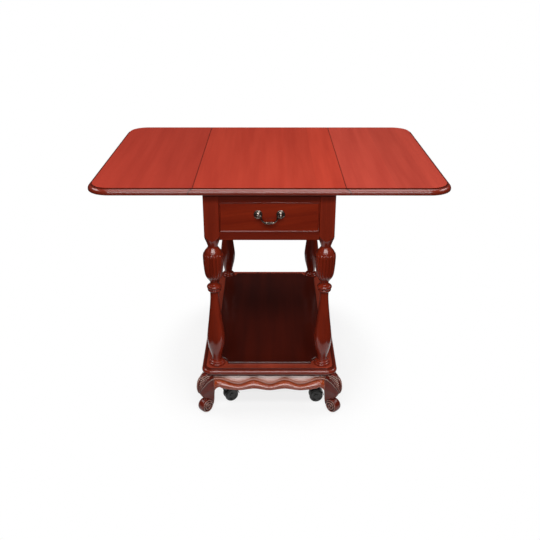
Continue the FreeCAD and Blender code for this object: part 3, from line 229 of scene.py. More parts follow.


# The top is lighter on its flat face than on its moulded edge and joints, whose deeper colour is painted
# shade, with a painted shade line in the quirk and a dark line of glaze caught along the two seams. The right
# leaf is a little lighter than the left.
PAINTED_SHADE_TOP = dict(streaky=0.05, seam=True, edge=(TOP_LEVEL, "#7A2412"))
lacquered_top = mahogany("lacquered_mahogany_top", "Y", "#AC3524", "#BA3E2B", stave=0.078, **PAINTED_SHADE_TOP)
lacquered_leaf_left = mahogany(
    "lacquered_mahogany_left_leaf", "Y", "#A53324", "#B03A2A", stave=0.093, **PAINTED_SHADE_TOP
)
lacquered_leaf_right = mahogany(
    "lacquered_mahogany_right_leaf", "Y", "#AE3C2E", "#BC4636", stave=0.093, **PAINTED_SHADE_TOP
)

# The frame below is stained darker than the top and coloured darker still as painted shade on its upright
# faces; the shelf, in the shade of the top, is darkest of all as painted shade. The platform, like the top,
# is lighter on its flat face than on its moulded edge, whose deeper colour is painted shade.
lacquered_posts = mahogany("lacquered_mahogany_turned", "Z", "#74200E", "#902C17", coat=0.8)
lacquered_cross = mahogany("lacquered_mahogany_rails", "X", "#6E1C0C", "#842712")
lacquered_sides = mahogany("lacquered_mahogany_side_rails", "Y", "#6E1C0C", "#842712")
lacquered_drawer = mahogany("lacquered_mahogany_drawer_front", "X", "#781D08", "#942B10", skew=0.12)
lacquered_shelf = mahogany("lacquered_mahogany_shelf", "Y", "#420F06", "#501408", 0.07, stave=0.083)
lacquered_base = mahogany(
    "lacquered_mahogany_platform", "Y", "#9A3A26", "#AE4630", 0.07, stave=0.083, edge=(BASE_LEVEL, "#822A18")
)

# The flat bead under the platform is coloured nearly black: a painted shadow line under the nosing.
painted_shadow_bead = mahogany("mahogany_bead_painted_shadow", "X", "#34120B", "#441A10", coat=0.3)

# The carved feet have thinner lacquer; their hollows are darker, as glaze and painted shade, and their
# ridges paler, as rubbed wear and painted highlight.
lacquered_carving = mahogany("lacquered_mahogany_carved", "Z", "#5E190B", "#702213", coat=0.45, carved=True)

# The aprons are coloured in bands, paler than the rest of the frame as painted light: a pale pink sloping
# field as a painted sheen, an orange hollow as if strongly lit, and red-brown beads lightened as painted
# highlight.
APRON_BANDS = (
    ("bead", "#9C4630", "#B05A42"), ("field", "#AC6650", "#BC7662"), ("hollow", "#A83A0A", "#BE4C14")
)
BEAD_BAND, FIELD_BAND, HOLLOW_BAND = range(3)
apron_bands = {
    grain: [mahogany(f"lacquered_mahogany_apron_{band}_{grain.lower()}", grain, deep, pale)
            for band, deep, pale in APRON_BANDS]
    for grain in "XY"
}

# ---------------------------------------------------------------- other materials


def plain_hardwood(name, grain, deep, pale):
    """Rubberwood, planed and sealed: pale tan with faint brown streaks, nearly matt."""
    material, tree, surface = finish_of(name, ior=1.45, roughness=0.5)
    place = add(tree, "TexCoord").outputs["Object"]
    figure = streaks(tree, place, 0.018, 0.30, grain)
    fleck = streaks(tree, place, 0.0012, 0.020, grain, 1)
    tone = add(tree, "MapRange", {0: figure, 1: 0.3, 2: 0.7}).outputs[0]
    colour = add(tree, "Mix", {0: tone, 6: linear(deep), 7: linear(pale)}, data_type="RGBA").outputs[2]
    shade = add(tree, "MapRange", {0: fleck, 1: 0.3, 2: 0.5, 3: 0.80, 4: 1}).outputs[0]
    colour = add(tree, "VectorMath", {0: colour, "Scale": shade}, operation="SCALE")
    tree.links.new(colour.outputs[0], surface.inputs["Base Color"])
    relief = add(tree, "Bump", {"Height": shade, "Strength": 0.2, "Distance": 0.0002})
    tree.links.new(relief.outputs[0], surface.inputs["Normal"])
    return material


# The drawer box, its runners and its stops are left pale; the caster blocks are stained red-brown.
box_wood_long = plain_hardwood("sealed_rubberwood_long", "Y", "#A97B4C", "#C69A68")
box_wood_cross = plain_hardwood("sealed_rubberwood_cross", "X", "#A97B4C", "#C69A68")
block_wood = plain_hardwood("stained_rubberwood_blocks", "X", "#5A2416", "#74331F")


def metal(name, worn, bright, rough, patch):
    """Cast or stamped metal: darker where it is tarnished, brighter and smoother where it is rubbed."""
    material, tree, surface = finish_of(name, metallic=1.0)
    place = add(tree, "TexCoord").outputs["Object"]
    cloud = add(tree, "TexNoise", {"Vector": place, "Scale": 1 / patch, "Detail": 4}).outputs[0]
    tone = add(tree, "MapRange", {0: cloud, 1: 0.38, 2: 0.62}).outputs[0]
    colour = add(tree, "Mix", {0: tone, 6: linear(worn), 7: linear(bright)}, data_type="RGBA")
    tree.links.new(colour.outputs[2], surface.inputs["Base Color"])
    gloss = add(tree, "MapRange", {0: cloud, 1: 0.3, 2: 0.7, 3: rough + 0.1, 4: rough - 0.06})
    tree.links.new(gloss.outputs[0], surface.inputs["Roughness"])
    grit = add(tree, "TexNoise", {"Vector": place, "Scale": 1 / 0.0006, "Detail": 2}).outputs[0]
    relief = add(tree, "Bump", {"Height": grit, "Strength": 0.15, "Distance": 0.0001})
    tree.links.new(relief.outputs[0], surface.inputs["Normal"])
    return material


# Antique brass, cast and darkened to a pewter brown: nearly black in patches, grey where a hand rubs it.
antique_brass = metal("antique_brass_cast", "#4A3F39", "#AA9C92", 0.27, 0.004)
# Zinc-plated steel, stamped: cool grey, slightly cloudy.
plated_steel = metal("zinc_plated_steel_stamped", "#8C8A84", "#B9B7B0", 0.34, 0.012)
# Brass-plated steel, stamped: warm yellow grey, for hinges.
plated_hinge = metal("brass_plated_steel_stamped", "#8A7346", "#B79A62", 0.32, 0.012)


def plastic(name, colour, rough, grit):
    """Moulded plastic: one deep colour, faint dust, a fine spark-eroded skin that breaks up its shine."""
    material, tree, surface = finish_of(name, ior=1.5)
    place = add(tree, "TexCoord").outputs["Object"]
    grain = add(tree, "TexNoise", {"Vector": place, "Scale": 1 / grit, "Detail": 2}).outputs[0]
    dust = add(tree, "TexNoise", {"Vector": place, "Scale": 1 / 0.012, "Detail": 3}).outputs[0]
    tone = add(tree, "MapRange", {0: dust, 1: 0.5, 2: 0.8, 3: 0, 4: 0.25}).outputs[0]
    clean = linear(colour)
    dusty = [0.7 * c + 0.03 for c in clean[:3]] + [1]
    shade = add(tree, "Mix", {0: tone, 6: clean, 7: dusty}, data_type="RGBA")
    tree.links.new(shade.outputs[2], surface.inputs["Base Color"])
    gloss = add(tree, "MapRange", {0: dust, 1: 0.3, 2: 0.7, 3: rough - 0.05, 4: rough + 0.08})
    tree.links.new(gloss.outputs[0], surface.inputs["Roughness"])
    relief = add(tree, "Bump", {"Height": grain, "Strength": 0.1, "Distance": 0.0001})
    tree.links.new(relief.outputs[0], surface.inputs["Normal"])
    return material


# Nylon, injection moulded in black: satin, faintly brown where dust sits.
black_nylon = plastic("black_nylon_moulded", "#191714", 0.3, 0.0009)
# Polyurethane tread: softer black, duller than the nylon hood.
black_tread = plastic("black_polyurethane_tread", "#0B0A09", 0.34, 0.0012)

# ---------------------------------------------------------------- shaping

# A shell is a list of points and a list of faces.


def spline(points, steps):
    """Points on a smooth curve through the given ones, so many to each span."""
    p = np.array(points, float)
    p = np.vstack([2 * p[0] - p[1], p, 2 * p[-1] - p[-2]])
    out = []
    for a, b, c, d in zip(p, p[1:], p[2:], p[3:]):
        slope = c - a
        bend = 2 * a - 5 * b + 4 * c - d
        turn = 3 * b - a - 3 * c + d
        out += [0.5 * (2 * b + slope * t + bend * t**2 + turn * t**3) for t in np.arange(steps) / steps]
    return out + [p[-2]]


def ease(low, high, value):
    """Smooth step from 0 at low to 1 at high."""
    t = np.clip((value - low) / (high - low), 0, 1)
    return t * t * (3 - 2 * t)


def skin(rows, ends=True):
    """A shell through rows of points; each row closes on itself, and the first and last may be capped."""
    wide = len(rows[0])
    points = [p for row in rows for p in row]
    faces = []
    for i in range(len(rows) - 1):
        for j in range(wide):
            k = (j + 1) % wide
            faces.append((i * wide + j, i * wide + k, (i + 1) * wide + k, (i + 1) * wide + j))
    if ends:
        faces.append(tuple(range(wide))[::-1])
        faces.append(tuple(range((len(rows) - 1) * wide, len(rows) * wide)))
    return points, faces


def turned(profile, around, shape=None):
    """A shell of revolution about z through (radius, height); shape may change the radius round the axis."""
    rows = []
    for radius, high in profile:
        row = []
        for j in range(around):
            angle = 2 * math.pi * j / around
            r = shape(angle, radius, high) if shape else radius
            row.append((r * math.cos(angle), r * math.sin(angle), high))
        rows.append(row)
    return skin(rows)


def rod_along(path, radii, around, ridge=None):
    """A tube along a path, its frame carried without twist; ridge(i, angle) scales its radius."""
    path = [Vector(p) for p in path]
    side = (path[1] - path[0]).normalized().orthogonal().normalized()
    rows = []
    for i, p in enumerate(path):
        ahead = (path[min(i + 1, len(path) - 1)] - path[max(i - 1, 0)]).normalized()
        side = (side - ahead * side.dot(ahead)).normalized()
        up = ahead.cross(side)
        row = []
        for j in range(around):
            angle = 2 * math.pi * j / around
            r = radii[i] * (ridge(i, angle) if ridge else 1)
            row.append(tuple(p + side * (r * math.cos(angle)) + up * (r * math.sin(angle))))
        rows.append(row)
    return skin(rows)


def moved(shell, matrix):
    points, faces = shell
    return [tuple(matrix @ Vector(p)) for p in points], faces


def crossed(shell):
    """The shell mirrored over the diagonal, from the face towards +y to the one towards +x."""
    points, faces = shell
    return [(y, x, z) for x, y, z in points], [shape[::-1] for shape in faces]


def together(*shells):
    points, faces = [], []
    for more, shapes in shells:
        start = len(points)
        points += more
        faces += [tuple(start + i for i in shape) for shape in shapes]
    return points, faces


def in_metres(shell):
    points, faces = shell
    return [tuple(c * MM for c in p) for p in points], faces


def mesh_of(name, shell, crease):
    """A smooth mesh of a shell in metres, sharp where faces meet at more than the crease in degrees."""
    points, faces = shell
    mesh = bpy.data.meshes.new(name)
    mesh.from_pydata(points, [], faces)
    mesh.validate()
    mesh.shade_smooth()
    mesh.set_sharp_from_angle(angle=math.radians(crease))
    return mesh


def piece(name, mesh, material, body, slot, *nodes):
    """Puts a mesh in the scene on its body, in place of the given nodes."""
    made = bpy.data.objects.new(name, mesh)
    bpy.context.scene.collection.objects.link(made)
    if material:
        made.data.materials.clear()
        made.data.materials.append(material)
    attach(made, body)
    if nodes:
        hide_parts(*nodes)


# Which way each corner lies, and how far a piece made for the corner towards +x +y turns to it.
CORNERS = {
    "front_left": (-1, -1, 180), "front_right": (1, -1, -90),
    "back_right": (1, 1, 0), "back_left": (-1, 1, 90),
}

# ---------------------------------------------------------------- turned legs

# Half the width of the square block, and the radius to which its corners are eased.
BLOCK = 21
BLOCK_CORNER = BLOCK * math.sqrt(2) - 0.8
# Heights: where the reeds rise out of the vase, their crowns, the plain shoulder, and where the block starts.
REED_FOOT, REED_CROWN, SHOULDER, BLOCK_FOOT = 427, 511, 516, 529
REEDS = 16
REED_DEEP = 2.5
# How far a crown drops to its sides, and how far the vase lies behind it above.
CROWN_DROP, CROWN_STEP = 5.5, 2.0


def leg_profile():
    """Radius and height in mm of the turned leg, from the platform to the underside of the top."""
    foot = [(22.5, 151), (24.1, 152.6), (24.6, 155), (23.9, 157.2), (21.8, 158.6), (20.9, 159.2),
            (21.0, 160.4), (20.8, 162), (19.6, 163.6), (17.6, 164.6), (15.2, 165.6)]
    shaft = spline([(15.2, 165.6), (14.2, 170), (16.1, 182), (20.4, 199), (23.9, 215), (26.5, 240),
                    (24.6, 263), (18.8, 310), (13.2, 363), (12.5, 392.5)], 6)
    rings = [(12.5, 392.5), (14.5, 393.6), (17.6, 394.8), (19.0, 396.8), (19.2, 398.8), (18.4, 400.8),
             (17.2, 401.8), (18.8, 402.8), (20.6, 404.6), (21.2, 407), (20.6, 409.6), (18.4, 412),
             (15.2, 414), (12.4, 415.4)]
    vase = spline([(12.4, 415.4), (11.7, 418.5), (12.0, 423), (16.8, 431), (22.4, 440), (25.6, 452),
                   (28.0, 476), (29.0, 499), (28.8, 506), (28.0, 510.5)], 8)
    shoulder = [(28.0, 510.5), (27.4, 512.2), (26.4, 513.8), (23.4, 517.8), (20.3, 521.8), (17.3, 525.8),
                (15.0, 528.6)]
    neck = spline([(15.0, 528.6), (13.9, 531.6), (15.4, 538), (19.6, 550), (23.6, 558), (30.5, 569)], 6)
    block = [(30.5, 569.5), (30.5, UNDERSIDE - 0.4)]
    return foot + shaft[1:] + rings[1:] + vase[1:] + shoulder[1:] + neck[1:] + block


def leg_shape(angle, radius, high):
    """The radius with the reeds of the vase, and with the square block and its curved-in lower corners."""
    if REED_FOOT < high < SHOULDER:
        place = (angle * REEDS / (2 * math.pi)) % 1 * 2 - 1
        bottom = ease(REED_FOOT, REED_FOOT + 17, high)
        crown = REED_CROWN - CROWN_DROP * (1 - math.sqrt(max(0, 1 - place * place)))
        top = 1 - ease(crown - 2.2, crown, high)
        hollow = REED_DEEP * (1 - math.sqrt(max(0, 1 - abs(place) ** 2.2)))
        bare = CROWN_STEP * ease(crown - 1, crown + 0.6, high) * (1 - ease(REED_CROWN + 0.5, SHOULDER, high))
        return radius - hollow * bottom * top - bare
    if high > BLOCK_FOOT:
        flat_side = BLOCK / max(abs(math.cos(angle)), abs(math.sin(angle)))
        return min(flat_side, radius, BLOCK_CORNER)
    return radius


leg_shell = in_metres(turned(leg_profile(), REEDS * 12, leg_shape))
for corner, (across, along, _) in CORNERS.items():
    spot = Matrix.Translation((across * LEG_X * MM, along * LEG_Y * MM, 0))
    mesh = mesh_of(f"turned_leg_{corner}", moved(leg_shell, spot), 40)
    piece(f"turned_leg_{corner}", mesh, lacquered_posts, "frame", "frame_wood", f"leg_{corner}")

# ---------------------------------------------------------------- aprons

# Rows of the apron moulding from its upper edge: how far it stands outside the plain face, its mean height,
# and how much of the wave of the upper line it takes. It has a sloping field, a bead, a hollow, a bead and a
# smaller bead.
APRON_ROWS = (
    (-18.5, 133.8, 0.0), (-14.0, 127.5, 0.25), (-8.8, 120.2, 0.6), (-4.0, 113.6, 0.9), (-1.6, 110.5, 1.0),
    (0.5, 110.2, 1.0), (2.0, 109.3, 1.0), (2.7, 107.9, 1.0), (2.4, 106.5, 1.0), (1.3, 105.6, 1.0),
    (0.0, 105.2, 0.98), (-1.8, 104.4, 0.96), (-2.8, 102.8, 0.92), (-2.8, 101.0, 0.88), (-2.3, 98.4, 0.8),
    (-1.4, 95.9, 0.72), (-0.1, 93.6, 0.64), (1.2, 92.0, 0.58), (2.4, 91.0, 0.53), (3.4, 89.8, 0.46),
    (4.0, 88.2, 0.4), (4.0, 86.6, 0.34), (3.3, 85.3, 0.29), (2.2, 84.6, 0.27), (1.4, 84.2, 0.25),
    (1.6, 83.4, 0.21), (2.2, 82.6, 0.18), (2.5, 81.2, 0.13), (2.0, 79.6, 0.08), (0.7, 78.3, 0.04),
    (-0.8, 77.6, 0.0), (-4.0, 77.5, 0.0), (-19.9, 77.5, 0.0),
)
APRON_TOP_BACK = (19.9, 133.8)
FIELD_ROWS, HOLLOW_ROWS = range(0, 8), range(9, 17)
# How far in from the platform's edge the plain face lies, and how far from its corner an apron ends.
APRON_FACE, APRON_END = 8, 37
# The wave: half its length, and its height along the upper line and along the lower edge.
HALF_WAVE, WAVE_HIGH, EDGE_WAVE_HIGH = 46, 5.2, 2.8
# A crest of the wave also leans back, by this share of its height, because the field slopes.
CREST_LEAN = 0.6


def apron_wave(half, count):
    """From the middle to the foot: distance along, lift of the upper line, lift of the lower edge."""
    table = []
    for i in range(count + 1):
        way = -1 if (i - count) % 2 else 1
        table.append((i * HALF_WAVE, way * WAVE_HIGH, way * EDGE_WAVE_HIGH))
    table += [(half - 17, 6.6, 8.2), (half - 9, 6.8, 6.0), (half - 3.2, 6.4, 0.5), (half, 6.0, -4.5)]
    before = (-HALF_WAVE, *table[1][1:])
    return np.array([p for p in spline([before] + table, 10) if p[0] >= -1e-9]).T


def apron_shell(half, count):
    """The moulded serpentine apron along x, its face towards -y at y = 0."""
    away, upper_line, lower_edge = apron_wave(half, count)
    rows = []
    for x in np.linspace(-half, half, int(half / 1.6)):
        upper = np.interp(abs(x), away, upper_line)
        lower = np.interp(abs(x), away, lower_edge)
        row = []
        for out, high, share in APRON_ROWS:
            lift = share * upper + (1 - share) * lower * ease(134, 100, high)
            row.append((x, CREST_LEAN * share * upper - out, high + lift))
        rows.append(row + [(x, *APRON_TOP_BACK)])
    return in_metres(skin(rows))


# Each apron: how far it is turned from facing -y, half the side of the platform that it runs along, how far
# out that side is, its half waves from the middle to the end, and its grain.
for label, turn, side, out, waves, grain in (
    ("front", 0, BASE_X, BASE_Y, 3, "X"), ("back", 180, BASE_X, BASE_Y, 3, "X"),
    ("left", -90, BASE_Y, BASE_X, 6, "Y"), ("right", 90, BASE_Y, BASE_X, 6, "Y"),
):
    outwards = Matrix.Translation((0, -(out - APRON_FACE) * MM, 0))
    spot = Matrix.Rotation(math.radians(turn), 4, "Z") @ outwards
    mesh = mesh_of(f"moulded_apron_{label}", moved(apron_shell(side - APRON_END, waves), spot), 50)
    for band in apron_bands[grain]:
        mesh.materials.append(band)
    for face in mesh.polygons:
        row = face.index % (len(APRON_ROWS) + 1)
        band = FIELD_BAND if row in FIELD_ROWS else HOLLOW_BAND if row in HOLLOW_ROWS else BEAD_BAND
        face.material_index = band
    piece(f"moulded_apron_{label}", mesh, None, "frame", "frame_wood", f"apron_{label}")

# ---------------------------------------------------------------- painted shadow bead under the platform

# Distance in from the edge of the platform, and height.
UNDER_SECTION = (
    (22, 133.9), (3.2, 133.9), (2.6, 133.0), (2.6, 131.6), (3.2, 130.4), (4.4, 129.9), (22, 129.9)
)
BASE_CORNER = 31
CORNER_STEPS = 12


def under_bead():
    """A nearly black bead all round under the platform, over the aprons and feet: a painted shadow line."""
    rows = []
    for quarter, (across, along) in enumerate(((1, 1), (-1, 1), (-1, -1), (1, -1))):
        middle = Vector((across * (BASE_X - BASE_CORNER), along * (BASE_Y - BASE_CORNER), 0))
        for step in range(CORNER_STEPS + 1):
            angle = math.radians(90 * (quarter + step / CORNER_STEPS))
            ray = Vector((math.cos(angle), math.sin(angle), 0))
            rows.append([tuple(middle + ray * (BASE_CORNER - inset) + Vector((0, 0, high)))
                         for inset, high in UNDER_SECTION])
    return in_metres(skin(rows + rows[:1], ends=False))


piece("platform_under_bead", mesh_of("platform_under_bead", under_bead(), 40), painted_shadow_bead, "frame",
      "frame_wood")

# ---------------------------------------------------------------- carved scroll feet

# A foot is drawn for the corner towards +x +y, with the corner of the platform at (0, 0). Its levels: height,
# how far the outer corner and the face stand outside the platform edge, the depth of the flank, and how far
# the flank has moved outwards.
FOOT_LEVELS = (
    (134, -9.2, -10.2, 20, 0.2), (128, 1.2, -8.4, 20, 0.2), (118, 10, -6.6, 20, 0.2),
    (104, 13.4, -5.6, 19, 0.2), (90, 13.8, -5.6, 18, 0.2), (76, 11.6, -7.5, 14, 0.2), (66, 7.6, -10, 11, 0.7),
    (56, 1.8, -12.4, 9, 1.6), (46, -2.6, -13.8, 8, 2), (34, -4, -14.8, 8, 3), (22, -4.6, -15.2, 8, 5),
    (13, -5, -15.6, 8, 9),
)
# Where a foot starts inside the platform's edge, how far outside it may reach, and the points of its flanks.
FOOT_IN = -APRON_END
FOOT_REACH = 13.9
FLANK_POINTS = 4
# The axis of the toe scroll: in from the platform's corner on both sides, and above the floor.
SCROLL_IN, SCROLL_HIGH = 8.6, 22.6
CARVING_VOXEL = 0.0007


def foot_row(level, out, face, deep, drawn):
    """The foot's outline at a height: the face towards +y, the corner, the face towards +x, the flanks."""
    rise = out - face
    near = FOOT_IN + drawn
    outer = [(near, face), (near + 0.3 * (out - near), face + 0.22 * rise),
             (near + 0.6 * (out - near), face + 0.62 * rise), (out - 8, out - 1.2), (out - 2.4, out - 2.4)]
    outer += [(v, u) for u, v in outer[-2::-1]]
    flanks = [(face - 0.3 * deep, near - 0.6), (face - deep, near), (near, face - deep),
              (near - 0.6, face - 0.3 * deep)]
    return [(u, v, level) for u, v in [tuple(p) for p in spline(outer, 5)] + flanks]


def foot_line(u):
    """Height of the bead that runs down over the foot, by how far outside the platform edge it is."""
    return float(np.interp(u, [FOOT_IN, -28, -14, -2, 8], [115.5, 113.5, 104, 92, 78]))


def foot_body():
    """The knee and shank of the foot, sunk a little below the bead."""
    rows = []
    for level in spline(FOOT_LEVELS, 5):
        row = []
        for u, v, high in foot_row(*level):
            far = high - foot_line(min(u, v))
            dent = 2.2 * (1 - ease(-5, -1.5, far)) * ease(-34, -12, far)
            row.append((u - dent * (u > v - 4), v - dent * (v > u - 4), high))
        rows.append(row)
    return skin(rows[::-1])


def on_knee(u, high):
    """The point of the knee's face towards +y at that place across and that height."""
    row = foot_row(*min(spline(FOOT_LEVELS, 5), key=lambda level: abs(level[0] - high)))
    outline = row[:len(row) - FLANK_POINTS]
    half = len(outline) // 2 + 1
    v = float(np.interp(u, [p[0] for p in outline[:half]], [p[1] for p in outline[:half]]))
    return Vector((u, v, high))


def frond(start, stop, width):
    """One carved frond on the face of the knee: a pointed rib that swells and curls up at its tip."""
    path, radii = [], []
    for k in range(9):
        t = k / 8
        u = start[0] + (stop[0] - start[0]) * t
        high = start[1] + (stop[1] - start[1]) * t + 1.2 * math.sin(math.pi * t)
        path.append(on_knee(u, high) + Vector((0, 1.4 + 1.8 * t * t, 0)))
        radii.append(width * (0.35 + 0.75 * math.sin(math.pi * (0.15 + 0.75 * t))) / 2)
    return rod_along(path, radii, 10)


def knee_carving():
    """Acanthus on the knee: a rib down the corner with fronds that rise to each side of it."""
    shells = []
    for root, tip, width in (
        ((4, 92), (-3, 103), 3.4), ((5, 98), (-9, 111), 3.8), ((5, 105), (-16, 118.5), 4.0),
        ((4, 112), (-24, 124), 3.8), ((2, 119), (-28, 129), 3.2), ((6, 86), (2, 95), 3.0),
        ((0, 103), (-4, 111), 2.6), ((-4, 110), (-10, 118), 2.6), ((-10, 117), (-18, 124.5), 2.4),
        ((0, 124), (-14, 130), 3.0),
    ):
        leaf = frond(root, tip, width)
        shells += [leaf, crossed(leaf)]
    corner = [(row[0], row[1]) for row in spline(FOOT_LEVELS, 5) if 80 < row[0] < 127]
    path = [Vector((out - 2.2, out - 2.2, level)) for level, out in corner]
    radii = [2.6 * math.sin(math.pi * (0.12 + 0.8 * i / (len(path) - 1))) for i in range(len(path))]
    return together(*shells, rod_along(path, radii, 12))


def knee_bead():
    """The bead that carries the line of the apron down over the foot, on both of its faces."""
    line = [on_knee(u, foot_line(u)) + Vector((0, -0.2, 0)) for u in np.linspace(-36, 3, 26)]
    radii = [1.9 * min(1, left / 8 + 0.25) for left in reversed(range(len(line)))]
    bead = rod_along(line, radii, 10)
    return together(bead, crossed(bead))


def toe_scroll():
    """The rolled toe: a drum across the diagonal whose cheeks carry a spiral."""
    around, ground = 72, 11.4
    # Radius, and level from the middle of the drum; that of the cheek comes from its spiral ridge.
    centre = [(0.01, 10.4)]
    cheek = [(r, None) for r in np.arange(1.5, 18.1, 1.0)]
    rim = [(18.9, 12.6), (20.1, 10.8), (20.9, 8.2), (21.3, 4.5), (21.4, 0)]
    rows = []
    for r, level in centre + cheek + rim:
        row = []
        for j in range(around):
            angle = 2 * math.pi * j / around
            wide = level
            if level is None:
                turn = (r / 7.8 - angle / (2 * math.pi)) % 1
                ridge = 3.4 * math.sin(math.pi * min(turn / 0.72, 1)) ** 0.8 if turn < 0.72 else 0
                wide = ground + ridge * ease(0, 4, r) + 1.2 * (1 - ease(0, 3.4, r))
            row.append((r * math.cos(angle), wide, r * math.sin(angle)))
        rows.append(row)
    other = [[(x, -y, z) for x, y, z in row] for row in rows[-2::-1]]
    return skin(rows + other)


def foot_mesh():
    """Body, carving and toe melted into one carved piece, kept within the reach of the solid foot."""
    diagonal = Matrix.Rotation(math.radians(45), 4, "Z")
    toe = moved(toe_scroll(), Matrix.Translation((-SCROLL_IN, -SCROLL_IN, SCROLL_HIGH)) @ diagonal)
    whole = in_metres(together(foot_body(), toe, knee_bead(), knee_carving()))
    rough = bpy.data.objects.new("foot_rough", mesh_of("foot_rough", whole, 35))
    bpy.context.scene.collection.objects.link(rough)
    melt = rough.modifiers.new("melt", "REMESH")
    melt.mode = "VOXEL"
    melt.voxel_size = CARVING_VOXEL
    sand = rough.modifiers.new("sand", "SMOOTH")
    sand.factor = 0.5
    sand.iterations = 2
    bpy.context.view_layer.update()
    made = bpy.data.meshes.new_from_object(rough.evaluated_get(bpy.context.evaluated_depsgraph_get()))
    bpy.data.objects.remove(rough)
    for vertex in made.vertices:
        vertex.co = [min(vertex.co.x, FOOT_REACH * MM), min(vertex.co.y, FOOT_REACH * MM), vertex.co.z]
    made.shade_smooth()
    return made


foot_master = foot_mesh()
for corner, (across, along, turn) in CORNERS.items():
    spot = Matrix.Translation((across * BASE_X * MM, along * BASE_Y * MM, 0))
    mesh = foot_master.copy()
    mesh.transform(spot @ Matrix.Rotation(math.radians(turn), 4, "Z"))
    piece(f"carved_foot_{corner}", mesh, lacquered_carving, "frame", "frame_wood", f"foot_{corner}")

# ---------------------------------------------------------------- cock bead

# Distance in from the outer edge, and out of the drawer front: a round lip and a long slope inside it.
BEAD_SECTION = (
    (0, -7.9), (0, 0.9), (0.25, 1.7), (0.8, 2.25), (1.4, 2.45),
    (2.0, 2.2), (2.9, 1.4), (3.6, 0.7), (3.95, 0.2), (3.95, -7.9),
)
BEAD_OUT = 2.5


def cock_bead():
    """A moulded strip round the drawer front, mitred at its corners."""
    low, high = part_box("drawer_cock_bead")
    rows = []
    for across, up in ((0, 0), (1, 0), (1, 1), (0, 1), (0, 0)):
        x, z = (low.x, high.x)[across], (low.z, high.z)[up]
        rows.append([(x + inset * MM * (1 - 2 * across), low.y + (BEAD_OUT - out) * MM,
                      z + inset * MM * (1 - 2 * up)) for inset, out in BEAD_SECTION])
    return skin(rows, ends=False)


piece("cock_bead_mitred", mesh_of("cock_bead_mitred", cock_bead(), 50), lacquered_cross, "drawer",
      "frame_wood", "drawer_cock_bead")

# ---------------------------------------------------------------- drawer pull

ROSE_SIDE = 30.5


def rose_shell():
    """One cast rose with its stepped rim and the knob that holds the bail, standing out along z."""
    rim = [(2.5, -23), (2.5, 0), (12.0, 0.0), (12.0, 0.7), (11.7, 1.4), (11.0, 1.9), (10.2, 2.0), (9.7, 1.8),
           (9.4, 2.1), (9.0, 2.9), (8.2, 3.5), (7.2, 3.8), (6.2, 3.7), (5.6, 3.9), (5.0, 4.5), (4.2, 5.2),
           (3.4, 5.7), (3.1, 6.4), (3.2, 7.4)]
    knob = [(5.5 * math.cos(a), 12 + 5.5 * math.sin(a)) for a in np.radians(np.linspace(-54, 89, 20))]
    return in_metres(turned(rim + knob, 64))


def bail_shell():
    """The swinging bail: arms out of the knobs, a bend, and a thicker grip with a rope twist."""
    half = [(32.4, 0), (28, 0), (25.4, -0.1), (23.2, -0.9), (22.0, -3.2), (21.7, -6.4), (21.0, -10),
            (18.8, -14.3), (15.4, -17.6), (11.6, -19.4), (6, -20), (0, -20)]
    route = spline(half + [(-x, z) for x, z in half[-2::-1]], 8)
    radii = [2.2 + 1.6 * (1 - ease(8.5, 13, abs(x))) * (z < -15) for x, z in route]

    def twist(i, angle):
        x, z = route[i]
        strong = 0.2 * (1 - ease(9, 11.5, abs(x))) * (z < -15)
        return 1 - strong * (0.5 - 0.5 * math.cos(3 * angle + x * 1.15))

    return in_metres(rod_along([(x, 0, z) for x, z in route], radii, 24, twist))


facing = Matrix.Rotation(math.radians(90), 4, "X")
roses = [moved(rose_shell(), Matrix.Translation((way * ROSE_SIDE * MM, PULL_FACE, PULL_HIGH)) @ facing)
         for way in (-1, 1)]
piece("pull_roses_cast", mesh_of("pull_roses_cast", together(*roses), 30), antique_brass, "drawer",
      "pull_metal", "pull_roses")
bail = moved(bail_shell(), Matrix.Translation(BAIL_PIVOT))
piece("bail_cast", mesh_of("bail_cast", bail, 60), antique_brass, "bail", "pull_metal", "bail_handle")

# ---------------------------------------------------------------- screws

SCREW_RADIUS = 3.2
SCREW_AROUND = 48
SCREW_RINGS = (SCREW_RADIUS, 3.1, 2.8, 2.4, 2.0, 1.8, 1.5, 1.2, 0.9, 0.6, 0.3, 0.05)


def screw_head():
    """A raised countersunk head in mm with a cross recess; it stands out along z."""
    angles = np.arange(SCREW_AROUND) * 2 * math.pi / SCREW_AROUND
    rows = [[(SCREW_RADIUS * math.cos(angle), SCREW_RADIUS * math.sin(angle), -0.2) for angle in angles]]
    for r in SCREW_RINGS:
        row = []
        for angle in angles:
            x, y = r * math.cos(angle), r * math.sin(angle)
            recess = 0.55 if r < 1.9 and min(abs(x), abs(y)) < 0.42 else 0
            row.append((x, y, 0.1 + 0.6 * (1 - (r / SCREW_RADIUS) ** 2) - recess))
        rows.append(row)
    return skin(rows)


def screws(name, body, spots, tilt, axis):
    """Screw heads at places in mm, tilted from z to where they face, each turned 30 degrees on the last."""
    heads = []
    for i, spot in enumerate(spots):
        turn = Matrix.Rotation(math.radians(30 * i), 4, axis)
        heads.append(moved(screw_head(), Matrix.Translation(spot) @ turn @ tilt))
    piece(name, mesh_of(name, in_metres(together(*heads)), 40), plated_steel, body, "hinge_metal")


# Along y on both plates of a hinge, and how far out the screws of its fixed and its moving plate are.
HINGE_SCREWS = [middle + step for middle in (-200, 200) for step in (-20, 0, 20)]
FIXED_OUT, MOVING_OUT = 186, 232
# On the right side: the screws of the tracks in x and y, and those of the brackets in y and z.
TRACK_SCREWS = [(x, y) for y in (-107.5, 132.5) for x in (330, 370, 411)]
BRACKET_SCREWS = [(y, z) for y in (-136, 104) for z in (624, 646)]
STAY_PLATE = 2
TRACK_FOOT = UNDERSIDE - STAY_PLATE
BRACKET_FACE = round(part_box("stay_brackets_right")[0].x / MM, 2) + STAY_PLATE

